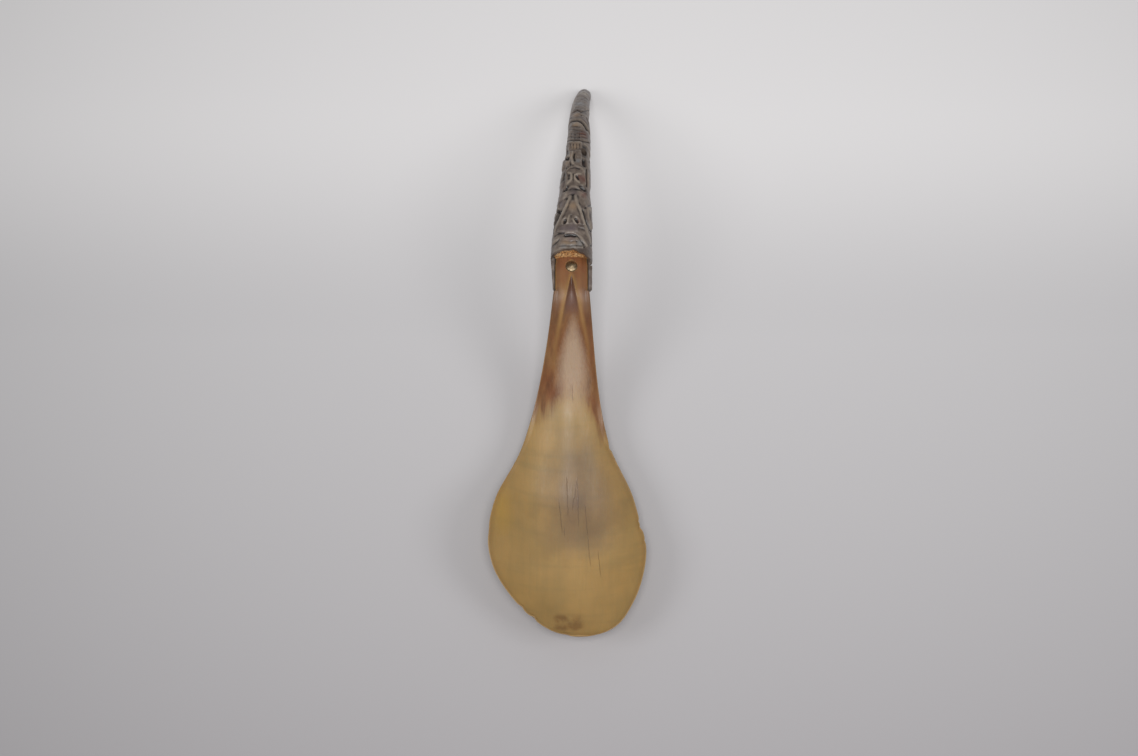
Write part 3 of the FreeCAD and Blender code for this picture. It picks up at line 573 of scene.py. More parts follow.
# Long edges painted lighter, for wear and painted highlights on lit ridges, and places painted dark, for
# painted shade and dirt in cuts and hollows: how strong, half width in mm, and where they run
wearAndHighlight = {
    "ridgeLeft": (0.9, 0.9, largeHead["ridgeLeft"][2]),
    "ridgeRight": (1.0, 0.75, largeHead["ridgeRight"][2]),
    "earStripe": (0.8, 0.6, [(587.2, 210), (587.6, 216), (589.6, 222), (591, 230)]),
    "earEdge": (0.7, 0.5, [(591, 209), (591.8, 220), (592, 230)]),
    "knee": (0.8, 0.6, [(572.4, 152), (572, 158), (572.8, 164)]),
    "mouthArch": (0.6, 0.5, largeHead["mouthArch"][2]), "cheek": (0.6, 0.6, largeHead["cheekArc"][2]),
    "limb": (0.6, 0.5, limbs["limbOutline"][2]), "side": (0.7, 0.5, smallHead["sideRidge"][2]),
    "collar": (0.5, 0.6, smallHead["collarArc"][2]), "eyeLeft": (0.9, 0.5, smallHead["eyeArcLeft"][2]),
    "eyeTop": (0.9, 0.5, smallHead["eyeTopRight"][2]), "eyeLow": (0.9, 0.5, smallHead["eyeLowRight"][2]),
    "nostrilLeft": (0.8, 0.45, largeHead["nostrilLineLeft"][2]),
    "nostrilRight": (0.8, 0.45, largeHead["nostrilLineRight"][2]),
    "mask": (0.7, 0.9, [(573, 124.2), (580, 124.4)]), "block": (0.6, 0.5, [(570.4, 143.2), (580.4, 143)]),
    "lip": (0.5, 0.8, [(554, 252.4), (562, 248.6), (576, 248.6)]),
    "facet": (0.5, 0.9, [(574, 101), (573.4, 109)]),
    "tip": (0.8, 1.2, [(580, 93.6), (584, 91.6), (587.4, 93.6)]),
}
# painted shade, with dirt, in the cuts, notches, corners and the pierced slit
shadeAndDirt = {
    "underEarLeft": (0.8, 1.3, [(559.4, 211.4), (557, 218), (554.8, 226), (553.6, 231)]),
    "forehead": (0.6, 1.2, [(571, 190.6), (575.6, 190.4)]),
    "noseTop": (0.7, 0.9, [(572.9, 195), (572.9, 200)]), "mouth": (0.9, 0.9, [(566, 235.4), (575, 235.6)]),
    "cheekRight": (0.8, 0.7, [(583.4, 211), (587.2, 223), (590.6, 232), (592, 243)]),
    "cornerLeft": (1.0, 1.1, [(567.6, 187), (564.4, 190.2)]),
    "cornerRight": (1.0, 1.1, [(580.6, 186.8), (585, 190)]), "arch": (1.0, 0.75, beakAndTip["arch"][2]),
    "slit": (1.0, 1.4, [(584.6, 148), (584.8, 156)]),
    "slitLow": (0.9, 1.2, [(584.2, 160.4), (584.8, 165.6)]),
    "shoulder": (0.9, 0.9, limbs["shoulderHollow"][2]), "waist": (0.9, 0.8, limbs["waistNotch"][2]),
    "temple": (0.5, 1.4, [(564.4, 173), (563, 182)]), "side": (0.9, 0.5, smallHead["sideCut"][2]),
    "knee": (0.8, 0.5, limbs["kneeCut"][2]), "rings": (0.5, 2.2, [(576, 131), (575, 138)]),
    "jawEdge": (0.6, 0.6, [(552, 254.6), (560, 250.8), (570, 250.2)]),
    "blockSide": (0.7, 0.8, [(567.4, 143.4), (567.2, 150)]), "chin": (0.6, 0.5, largeHead["chinCut"][2]),
}


# knife marks: short facets left by the carver, seen all over; turns for each mm along and around, and phase
knifeWaves = ((1.9, 0.7, 0.3), (0.8, -1.6, 1.9), (3.1, 1.3, 4.0), (-1.2, 2.6, 5.2))


def lineDistance(along, around, path):
    nearest = np.full(along.shape, 1e6)
    for start, end in zip(path, path[1:] or path):
        run = np.array(end) - np.array(start)
        length = max(float(run @ run), 1e-9)
        share = np.clip(((along - start[0]) * run[0] + (around - start[1]) * run[1]) / length, 0, 1)
        nearest = np.minimum(
            nearest, np.hypot(along - start[0] - share * run[0], around - start[1] - share * run[1])
        )
    return nearest


def plateShare(along, around, outline, soft):
    # 1 inside the outline and 0 outside, with an edge that falls off softly
    inside = np.zeros(along.shape, bool)
    for (a0, b0), (a1, b1) in zip(outline, outline[1:] + outline[:1]):
        if b0 != b1:
            crossed = a0 + (around - b0) / (b1 - b0) * (a1 - a0)
            inside ^= ((b0 > around) != (b1 > around)) & (along < crossed)
    edge = lineDistance(along, around, outline + outline[:1])
    return ease(0.5 + np.where(inside, edge, -edge) / soft)


def softened(heights, times):
    for _ in range(times):
        inner = heights[:, :-1]
        inner = (2 * inner + np.roll(inner, 1, axis=1) + np.roll(inner, -1, axis=1)) / 4
        heights = np.concatenate([inner, inner[:, :1]], axis=1)
        heights[1:-1] = (2 * heights[1:-1] + heights[:-2] + heights[2:]) / 4
    return heights


def carveHandle():
    along, places = bareHorn()
    normal = outward(places)
    steps = np.linalg.norm(np.diff(places, axis=1), axis=-1)
    around = np.concatenate([np.zeros((len(along), 1)), np.cumsum(steps, axis=1)], axis=1)
    centreColumn = handle["columnsBack"] + handle["columnsFront"] // 2
    around -= around[:, centreColumn : centreColumn + 1]
    alongAll = np.repeat(along[:, None], places.shape[1], axis=1)
    seen = (normal @ -lookAhead > 0.08) & (alongAll > -4)
    px, py = toPhoto(places)

    def onHorn(spot):
        gap = np.where(seen, (px - spot[0]) ** 2 + (py - spot[1]) ** 2, 1e9)
        row, column = np.unravel_index(np.argmin(gap), gap.shape)
        return along[row], around[row, column]

    def awayFrom(path, reach):
        # how far each vertex is from a line in the photograph, in shares of its reach
        return lineDistance(alongAll, around, [onHorn(spot) for spot in path]) / reach

    height = np.zeros(alongAll.shape)
    for rise, soft, outline in plates.values():
        corners = [onHorn(spot) for spot in outline]
        height += handle["platesRise"] * rise * plateShare(alongAll, around, corners, soft)
    for rise, reach, path in {**largeHead, **smallHead, **limbs, **ringStack, **beakAndTip}.values():
        height += handle["strokesRise"] * rise * np.maximum(1 - awayFrom(path, reach) ** 2, 0) ** 1.5
    knifeMarks = sum(np.sin(alongAll * a + around * b + c) for a, b, c in knifeWaves)
    height += handle["wear"] * knifeMarks * ease((alongAll + 2) / 6)
    height = softened(height, 1)
    height = np.where(alongAll < handle["lowEnd"], np.minimum(height, handle["lowRise"]), height)
    height *= ease((alongAll + 1.5) / 1.5) * ease((handle["length"] - alongAll) / 0.8)
    moved = places + normal * height[..., None]
    moved[..., 2] = np.clip(moved[..., 2], 0, cadBounds[1][2] / mm)
    # hollow: the carving's rises and hollows against its wide form, which the material turns into painted
    # highlights on rises and painted shade in hollows
    wideForm = softened(height, handle["hollowPasses"])
    layers = {"hollow": height - wideForm, "alongHorn": alongAll, "aroundHorn": around}
    for tint, spotX, spotY, reach in tintsAndHighlights.values():
        gap = awayFrom([(spotX, spotY)], reach)
        layers[tint] = layers.get(tint, 0) + np.exp(-(gap**2) * 1.4)
    for name, lines in (("wearAndHighlight", wearAndHighlight), ("shadeAndDirt", shadeAndDirt)):
        layers[name] = np.zeros(alongAll.shape)
        for strength, reach, path in lines.values():
            layers[name] = np.maximum(layers[name], strength * np.exp(-(awayFrom(path, reach) ** 2)))
    return wrapGrid("hornHandle", moved, layers), onHorn


def socketAt(y):
    # half width and height of the socket above the handle's middle line
    stations = (lap["startY"], joint["mouthY"], joint["tongueEndY"] + 1)
    half = joint["tongueHalf"] + joint["room"]
    rise, crown = joint["roof"] - joint["height"], joint["crown"] - joint["height"]
    endRise = crown + 0.35 * (rise - crown)
    wide = np.interp(y, stations, (half, half, half - joint["tongueTaper"]))
    return wide, np.interp(y, stations, (rise, rise, endRise))


def socketCutter():
    # the hollow of the horn, open at the flanges and as wide as the tongue with a little room
    drop = joint["height"] - joint["floor"]
    across, up = ovalAcross(np.linspace(0, 1, 33))
    x = np.concatenate([across, across[::-1][1:]])
    rows = []
    for y in np.linspace(lap["startY"], joint["tongueEndY"] + 1, 24):
        wide, high = socketAt(y)
        z = joint["height"] + np.concatenate([high * up, -drop * up[1:]])
        rows.append(np.stack([wide * x, np.full_like(x, y), z], -1))
    return wrapGrid("socketCutter", np.array(rows))


def lapCutter():
    # takes the front of the horn off below the mouth, and leaves the two flanges; its end is the wavy lip
    low = joint["crown"] - lap["belowCrown"]
    wide, long, high = lap["size"]
    cutter = openCube((0, lap["middleY"], low + high / 2), (wide, long, high))
    bpy.ops.mesh.subdivide(number_cuts=24)
    bpy.ops.object.mode_set(mode="OBJECT")
    for vertex in cutter.data.vertices:
        x = vertex.co.x / mm
        toLip = min(max((vertex.co.y / mm - lap["bendFrom"]) / lap["bendOver"], 0), 1)
        if toLip > 0:
            lip = joint["lipRise"] * max(1 - (abs(x - lap["lipX"]) / lap["lipHalf"]) ** 2.6, 0)
            lip -= lap["lipBack"] + joint["lipHang"] * ease((x - lap["hangX"]) / 1.5)
            vertex.co.y += toLip * (lip + 0.16 * math.sin(1.5 * x + 0.6) + 0.1 * math.sin(3.1 * x)) * mm
        if vertex.co.z < (low + 0.1) * mm:
            y = vertex.co.y / mm
            other = 1.5 if x > 0 else 0
            vertex.co.z += (0.16 * math.sin(1.1 * y + other) + 0.09 * math.sin(2.7 * y)) * mm
    return cutter


def bore(name, wide, seatHeight, upward):
    # a drill with a flat-bottomed seat, from below or from above
    start, past = (drill["below"], drill["past"]) if upward else (drill["above"], -drill["past"])
    steps = [(drill["radius"], start), (drill["radius"], seatHeight)]
    return turned(name, steps + [(wide, seatHeight), (wide, seatHeight + past)], drill["segments"])


def notchCutter():
    # a chip out of the right flange, below the corner of the lip
    cutter = openCube(flangeChip["place"], flangeChip["size"])
    bpy.ops.mesh.bevel(offset=flangeChip["bevel"] * mm, segments=3)
    bpy.ops.object.mode_set(mode="OBJECT")
    return cutter


def pierceCutter(onHorn):
    # the slit beside the knees: a stretched ball, through the horn from front to back
    along, _ = onHorn(slit["place"])
    centre, turn = hornLine(np.array(along))
    ready()
    bpy.ops.mesh.primitive_uv_sphere_add(segments=32, ring_count=20, radius=1)
    cutter = bpy.context.object
    for vertex in cutter.data.vertices:
        side, ahead, out = (part * half for part, half in zip(vertex.co, slit["halves"]))
        vertex.co = Vector((
            centre[0] + slit["aside"] + side,
            centre[1] + ahead * math.cos(turn) + out * math.sin(turn),
            centre[2] - ahead * math.sin(turn) + out * math.cos(turn),
        )) * mm
    return cutter


def hornHandleMaterial():
    # Goat horn, knife-carved, rubbed with oil and soot: nearly black in the cuts, from soot and painted
    # shade, grey-brown on the ridges, with wear and painted highlights
    colours = {
        # the darkest colour is soot with painted shade, the ridge colour wear with painted highlights, the
        # palest tint a painted highlight, and the grey and tan tints partly painted highlights
        "deep": "#1a1311", "brown": "#4a3e37", "worn": "#786b60", "ridge": "#978a7b",
        "red": "#6b3426", "purple": "#5a4f55", "paintedHighlight": "#a99e8c", "greyAndSheen": "#78797a", "tanAndSheen": "#8b735a",
    }
    material, tree = newMaterial("darkGoatHorn")
    place = addNode(tree, "TexCoord")["Object"]
    tintAndHighlightStrengths = {"tanAndSheen": 0.7, "greyAndSheen": 0.65, "purple": 0.5, "red": 0.42, "paintedHighlight": 0.6}
    layers = readLayers(tree, "hollow", "alongHorn", "aroundHorn", "wearAndHighlight", "shadeAndDirt", *tintAndHighlightStrengths)
    # mottles about 5 mm across, patches of 11 mm and pores of 0.7 mm
    mottle, patches, pores = patterns(tree, place, {
        "mottle": ((200, 200, 200), 5, 0.6), "patches": ((90, 90, 90), 2, 0.5),
        "pores": ((1500, 1500, 1500), 4, 0.65),
    })
    # fibres that run with the horn, 0.4 mm wide and 6 mm long: this place is in mm
    hornPlace = addNode(tree, "CombineXYZ", {"X": layers["aroundHorn"], "Y": layers["alongHorn"]})[0]
    (fibres,) = patterns(tree, hornPlace, {"fibres": ((2.4, 0.16, 1), 3, 0.5)})
    base = over(tree, colours["worn"], mottle, colours["brown"], 0.34, 0.62)
    base = over(tree, colours["purple"], patches, base, 0.5, 0.72, 0.4)
    base = over(tree, colours["brown"], fibres, base, 0.5, 0.8, 0.45)
    # tints of the horn, among them painted highlights: the palest tint wholly, the grey and tan tints in part
    for name, most in tintAndHighlightStrengths.items():
        base = over(tree, colours[name], layers[name], base, 0.1, 0.95, most)
    # ridges are painted lighter, for wear and painted highlights; cuts and hollows are painted dark, for soot
    # and painted shade
    for colour, name, low, high, most in (
        ("ridge", "hollow", 0.04, 0.32, 0.6), ("ridge", "wearAndHighlight", 0.1, 0.9, 0.55),
        ("deep", "shadeAndDirt", 0.1, 0.95, 0.85), ("deep", "hollow", -0.04, -0.24, 0.95),
    ):
        base = over(tree, colours[colour], layers[name], base, low, high, most)
    limits = {"Value": mottle, "From Min": 0.3, "From Max": 0.7, "To Min": 0.3, "To Max": 0.48}
    rough = addNode(tree, "MapRange", limits)[0]
    height = addNode(tree, "Math", {0: pores, 1: 0.5, 2: fibres}, operation="MULTIPLY_ADD")[0]
    bump = addNode(tree, "Bump", {"Strength": 0.35, "Distance": 0.12 * mm, "Height": height})[0]
    return shade(material, {
        "Base Color": base, "Roughness": rough, "IOR": 1.54, "Coat Weight": 0.12, "Coat Roughness": 0.25,
        "Normal": bump,
    })


hornHandle, onHorn = carveHandle()
print("handle: carved")
cutAway(
    hornHandle, lapCutter(), socketCutter(), notchCutter(), pierceCutter(onHorn),
    bore("tailBore", 2.15, joint["back"] + joint["seatDepth"], False)
)
finishPiece(hornHandle, hornHandleMaterial(), "carved_handle")
print("handle: socket, lip and pierced slit cut")

# ---- the bowl with its channelled stem and tongue
bowl = {
    "toeY": -42.4,
    "neckY": 36.0,
    "leftReach": 33.3,
    "rightReach": 29.9,
    "neckLeft": 20.6,
    "neckRight": 16.2,
    "toeLeft": -0.2,
    "toeRight": 6.8,
    "leftRim": 24.0,
    "rightRim": 18.4,
    "toeRim": 17.0,
    "neckRim": 14.8,
    "keel": 1.95,
    "wall": 2.2,
    "stemWall": 2.8,
    "waist": 11.0,
    "stemHalf": 7.3,
    "step": 0.35,
    "rounding": 0.75,  # how far from its edge the rim begins to round
    "unevenness": 0.12,
    "deepest": 0.45,
    "tongueRows": 50,
    "rows": 250,
    "toeStart": 0.93,
    "toeRows": 44,
    "columnsInside": 112,
    "columnsUnder": 72,
}
# shares of the way from neck to toe, of the left reach and of the right reach
bowlOutline = [
    (0.12, 0.745, 0.675), (0.26, 0.895, 0.83), (0.40, 0.978, 0.925), (0.53, 1.0, 1.0), (0.66, 0.93, 0.97),
    (0.77, 0.775, 0.89), (0.86, 0.59, 0.775), (0.93, 0.40, 0.645), (0.975, 0.22, 0.47),
]
# breaks in the rim: a place in the photograph, how far it reaches and how deep it goes, in mm
rimChips = {
    "neckRight": (611, 446, 1.6, 0.8), "edgeA": (644.5, 520, 1.0, 0.55), "edgeB": (644.4, 525.5, 1.3, 0.7),
    "edgeC": (646, 541, 0.9, 0.3), "lowLeft": (521.8, 607.5, 1.2, 0.5), "stepLeft": (533, 617.5, 1.3, 0.8),
    "toe": (566, 634, 1.6, 0.35), "leftWear": (488, 531, 3.0, 0.25),
}


def throughPoints(knots, values, at):
    # the smoothest cubic curve through rows of values, one row at each knot
    width = np.diff(knots)[:, None]
    slope = np.diff(values, axis=0) / width
    count = len(knots)
    system, side = np.eye(count), np.zeros(values.shape)
    for spot in range(1, count - 1):
        before, after = width[spot - 1, 0], width[spot, 0]
        system[spot, spot - 1 : spot + 2] = before, 2 * (before + after), after
        side[spot] = 6 * (slope[spot] - slope[spot - 1])
    bend = np.linalg.solve(system, side)
    spot = np.clip(np.searchsorted(knots, at, side="right") - 1, 0, count - 2)
    step = width[spot]
    back, ahead = (knots[spot + 1] - at)[:, None], (at - knots[spot])[:, None]
    curve = (bend[spot] * back**3 + bend[spot + 1] * ahead**3) / (6 * step)
    curve += (values[spot] / step - bend[spot] * step / 6) * back
    return curve + (values[spot + 1] / step - bend[spot + 1] * step / 6) * ahead


def rimHeight(share, peak, peakShare):
    rise = bowl["neckRim"] + (peak - bowl["neckRim"]) * ease(share / peakShare)
    fall = peak + (bowl["toeRim"] - peak) * ease((share - peakShare) / (1 - peakShare))
    return np.where(share < peakShare, rise, fall)


def crescentRows(y, left, right, leftRim, inside, rightRim, wall, top, under):
    # one row for each y: the inside from left to right, then the underside back again
    column = lambda values: np.asarray(values, float)[:, None]
    lip = 0.55 * wall
    sag = (leftRim + rightRim) / 2

    def arc(share, low, pole, high):
        ends = (1 - share) ** 2 * column(low) + share**2 * column(high)
        return ends + 2 * share * (1 - share) * column(pole)

    def both(share):
        inner = arc(share, leftRim, 2 * inside - sag, rightRim)
        outer = arc(share, leftRim - lip, 2 * (inside - wall) - (sag - lip), rightRim - lip)
        wide = column(right - left)
        edge = np.minimum(share, 1 - share) * wide
        toToe = np.maximum(column(y - bowl["toeY"]), 0)
        near = np.minimum(np.minimum(edge, toToe) / bowl["rounding"], 1)
        thin = np.sqrt(np.maximum(1 - (1 - near) ** 2, 0))
        middle, halfWall = (inner + outer) / 2, (inner - outer) / 2 * thin
        x = column(left) + share * wide
        return x, middle + halfWall, middle - halfWall

    x, inner, _ = both(top[None, :])
    xUnder, _, outer = both(under[None, ::-1])
    x, z = np.concatenate([x, xUnder], axis=1), np.concatenate([inner, outer], axis=1)
    edgeShare = np.minimum(np.concatenate([top, under[::-1]]), 1 - np.concatenate([top, under[::-1]]))
    nearRim = np.minimum(edgeShare[None, :] * column(right - left), column(y - bowl["toeY"]))
    return np.stack([x, np.repeat(column(y), x.shape[1], axis=1), z], -1), nearRim


def bowlPlaces():
    top = 0.5 - 0.5 * np.cos(np.linspace(0, math.pi, bowl["columnsInside"]))
    under = 0.5 - 0.5 * np.cos(np.linspace(0, math.pi, bowl["columnsUnder"]))
    # tongue: round below, a low crown on top
    y = np.linspace(joint["tongueEndY"], joint["shoulderY"], bowl["tongueRows"])
    deep = np.clip((y - joint["mouthY"]) / (joint["tongueEndY"] - joint["mouthY"]), 0, 1)
    half = (joint["tongueHalf"] - joint["tongueTaper"] * deep)[:, None]
    start = 0.087
    lowX, lowZ = ovalAcross(start + (1 - 2 * start) * under)
    edge = -lowX[0]
    topX = (2 * top - 1)[None, :] * edge * half
    topZ = joint["crown"] - joint["tongueCrown"] * (topX / joint["tongueHalf"]) ** 2
    underX = lowX[None, ::-1] * half
    underZ = joint["height"] - (joint["height"] - joint["floor"]) * lowZ[None, ::-1] * np.ones_like(half)
    x, z = np.concatenate([topX, underX], axis=1), np.concatenate([topZ, underZ], axis=1)
    tongue = np.stack([x, np.repeat(y[:, None], x.shape[1], axis=1), z], -1)
    # stem: a round-backed bar that opens into a channel
    share = np.array((0, 0.13, 0.26, 0.39, 0.52, 0.65, 0.78, 0.9))
    run = joint["shoulderY"] - bowl["neckY"]
    y = blend(
        share, joint["shoulderY"], joint["shoulderY"] - 0.17 * run, bowl["neckY"] + 0.46 * run,
        bowl["neckY"]
    )
    high, low = joint["crown"] + bowl["step"], joint["floor"] - bowl["step"]
    fall = high - bowl["neckRim"]
    neckInside = bowl["keel"] + 0.4 * (bowl["neckRim"] - bowl["keel"])
    neckUnder = neckInside - bowl["stemWall"]
    rim = blend(share, high, high - 0.02 * fall, bowl["neckRim"] - 0.18 * fall, bowl["neckRim"])
    base = blend(share, low, low - 0.02 * fall, neckUnder - 0.16 * fall, neckUnder)
    way = (joint["shoulderY"] - y) / run
    left = -blend(way, bowl["stemHalf"], bowl["waist"] - 1.4, bowl["waist"] + 3.2, bowl["neckLeft"])
    right = blend(way, bowl["stemHalf"], bowl["waist"] - 1.7, bowl["waist"] - 0.5, bowl["neckRight"])
    opened = ease(share / 0.6)
    inside = (1 - opened) * rim + opened * (base + bowl["stemWall"])
    edgeHigh = rim - joint["tongueCrown"] * (1 - opened)
    stem = np.stack([y, left, right, edgeHigh, inside, edgeHigh, inside - base], -1)
    # bowl: from the neck over its widest place to the blunt toe
    neck = (0, bowl["neckLeft"] / bowl["leftReach"], bowl["neckRight"] / bowl["rightReach"])
    toe = (1, -bowl["toeLeft"] / bowl["leftReach"], bowl["toeRight"] / bowl["rightReach"])
    share, left, right = np.array([neck] + bowlOutline + [toe]).T
    inside = np.where(
        share < bowl["deepest"],
        bowl["keel"] + (neckInside - bowl["keel"]) * np.abs(1 - share / bowl["deepest"]) ** 2.5,
        bowl["keel"] + (bowl["toeRim"] - 0.4 - bowl["keel"]) * np.abs(
            (share - bowl["deepest"]) / (1 - bowl["deepest"])
        ) ** 3,
    )
    y = bowl["neckY"] - share * (bowl["neckY"] - bowl["toeY"])
    leftRim, rightRim = rimHeight(share, bowl["leftRim"], 0.45), rimHeight(share, bowl["rightRim"], 0.7)
    wall = np.where(share == 0, bowl["stemWall"], bowl["wall"])
    dish = np.stack(
        [y, -left * bowl["leftReach"], right * bowl["rightReach"], leftRim, inside, rightRim, wall], -1
    )
    stations = np.concatenate([stem, dish])
    steps = np.linalg.norm(np.diff(stations[:, :3], axis=0), axis=1)
    knots = np.concatenate([[0], np.cumsum(steps)]) / steps.sum()
    at = np.concatenate([
        np.linspace(0, bowl["toeStart"], bowl["rows"], endpoint=False),
        bowl["toeStart"] + (1 - bowl["toeStart"]) * np.sin(np.linspace(0, math.pi / 2, bowl["toeRows"])),
    ])
    rest, nearRim = crescentRows(*throughPoints(knots, stations, at).T, top, under)
    nearRim = np.concatenate([np.repeat(nearRim[:1], len(tongue), axis=0), nearRim])
    return np.concatenate([tongue, rest]), nearRim


# The groove that starts as a V below the rivet and opens into the channel
stemGroove = {"apexY": 100.8, "depth": 1.4, "spread": 0.23, "widest": 6.0, "ridge": 0.35, "ridgeReach": 0.55}
# What comes and goes along the groove, in mm from its point: where it begins, over what length it comes,
# where it begins to go, and over what length it goes
stemSpans = {
    "cut": (0.0, 4.5, 11.0, 31.8),
    "ridge": (0.0, 3.0, 9.0, 20.0),
    "grooveTint": (0.0, 2.0, 11.0, 8.0),
    "ridgeHighlightSpan": (-1.0, 2.0, 14.0, 26.0),
    "flankTint": (5.0, 2.0, 14.0, 14.0),
}
# Where the inside is evened out along the spoon: middle and reach in mm, and how many times over
evened = {"shoulder": (92.5, 11.0, 70), "neck": (35.0, 27.0, 420)}
# Rows and columns of the photograph where the stem's painted sheen lies and where its brown ends
stemZones = {
    "sheen": {"x": 573.0, "y": 362.0, "wide": 17.0, "long": 54.0, "spread": 0.2},
    "brownEnds": {"left": 412.0, "middle": 386.0, "right": 432.0, "halfWidth": 26.0, "soft": 56.0},
}


def acrossGroove(places):
    # how far past the groove's point, how wide the groove is there, and the place across in its half widths
    run = stemGroove["apexY"] - places[..., 1]
    half = np.clip(stemGroove["spread"] * run, 0.05, stemGroove["widest"])
    return run, half, np.abs(places[..., 0]) / half


def alongGroove(run, name):
    begin, comes, end, goes = stemSpans[name]
    return ease((run - begin) / comes) * (1 - ease((run - end) / goes))


def shapeBowl():
    places, nearRim = bowlPlaces()
    columns = bowl["columnsInside"]
    inner = places[:, :columns]
    # the spreading left no step on the inside: the shoulder and the neck are evened out along the spoon
    for centre, reach, passes in evened.values():
        even = inner[..., 2].copy()
        for _ in range(passes):
            even[1:-1] = (2 * even[1:-1] + even[:-2] + even[2:]) / 4
        share = ease(1.6 * (1 - np.abs(inner[..., 1] - centre) / reach)) * ease(nearRim[:, :columns] / 2)
        inner[..., 2] += (even - inner[..., 2]) * share
    # between the flanges the tongue is swollen a little, so that it fills the width that they leave
    swelling = ease((joint["mouthY"] - places[..., 1]) / 3) * (places[..., 1] > joint["shoulderY"] + 0.01)
    places[..., 0] *= 1 + joint["swelling"] * swelling
    run, half, side = acrossGroove(inner)
    cut = stemGroove["depth"] * alongGroove(run, "cut") * np.maximum(1 - side**1.4, 0)
    ridge = stemGroove["ridge"] * np.exp(-(((side - 1) * half / stemGroove["ridgeReach"]) ** 2))
    inner[..., 2] += np.where(run > 0, ridge * alongGroove(run, "ridge") - cut, 0)
    # scraped by hand, so never quite even
    x, y = places[..., 0], places[..., 1]
    sway = np.sin(x / 5.1 + y / 13) + np.sin(x / 9 - y / 7.7 + 2) + 0.6 * np.sin(y / 3.1 + x / 11)
    places[..., 2] += bowl["unevenness"] * sway * ease((joint["shoulderY"] - y) / 12)
    px, py = toPhoto(places)
    rimColumns = np.concatenate([np.arange(3), np.arange(columns - 3, columns)])
    for spotX, spotY, reach, deep in rimChips.values():
        gap = (px[:, rimColumns] - spotX) ** 2 + (py[:, rimColumns] - spotY) ** 2
        row, spot = np.unravel_index(np.argmin(gap), gap.shape)
        centre = places[row, rimColumns[spot]].copy()
        pull = deep * np.exp(-((np.linalg.norm(places - centre, axis=-1) / reach) ** 2))
        inward = np.array((3.0, 0.0, centre[2])) - centre
        places += pull[..., None] * inward / np.linalg.norm(inward)
    places[..., 2] = np.maximum(places[..., 2], 0)
    places[..., 1] = np.maximum(places[..., 1], bowl["toeY"])
    # what the material needs to know about the stem: its groove, its ridges for their painted highlights, its
    # painted sheen and its brown
    px, py = toPhoto(places)
    run, half, side = acrossGroove(places)
    spot = stemZones["sheen"]
    wide = spot["wide"] + spot["spread"] * (py - spot["y"])
    far = np.hypot((px - spot["x"]) / wide, (py - spot["y"]) / spot["long"])
    browns = stemZones["brownEnds"]
    off = (px - spot["x"]) / browns["halfWidth"]
    toSide = np.where(off < 0, browns["left"] - browns["middle"], browns["right"] - browns["middle"])
    brownEnd = browns["middle"] + toSide * np.minimum(np.abs(off), 1) ** 1.6
    # the ridges beside the groove, which carry painted highlights
    ridgeHighlights = np.exp(-(((side - 1.15) * half / 0.95) ** 2))
    layers = {
        "nearRim": nearRim,
        "groove": ease((1.15 - side) / 0.45) * alongGroove(run, "grooveTint"),
        "ridgeHighlights": ridgeHighlights * alongGroove(run, "ridgeHighlightSpan"),
        "sheen": ease(1.25 - far) * ease((run - 8) / 9),
        "brown": 1 - ease((py - brownEnd) / browns["soft"] + 0.5),
        "flanks": ease((np.abs(x) - 3.6) / 2) * alongGroove(run, "flankTint"),
    }

    def looped(values):
        return np.concatenate([values, values[:, :1]], axis=1)[:, ::-1]

    loops = {name: looped(values) for name, values in layers.items()}
    return wrapGrid("hornBowl", looped(places), loops), places


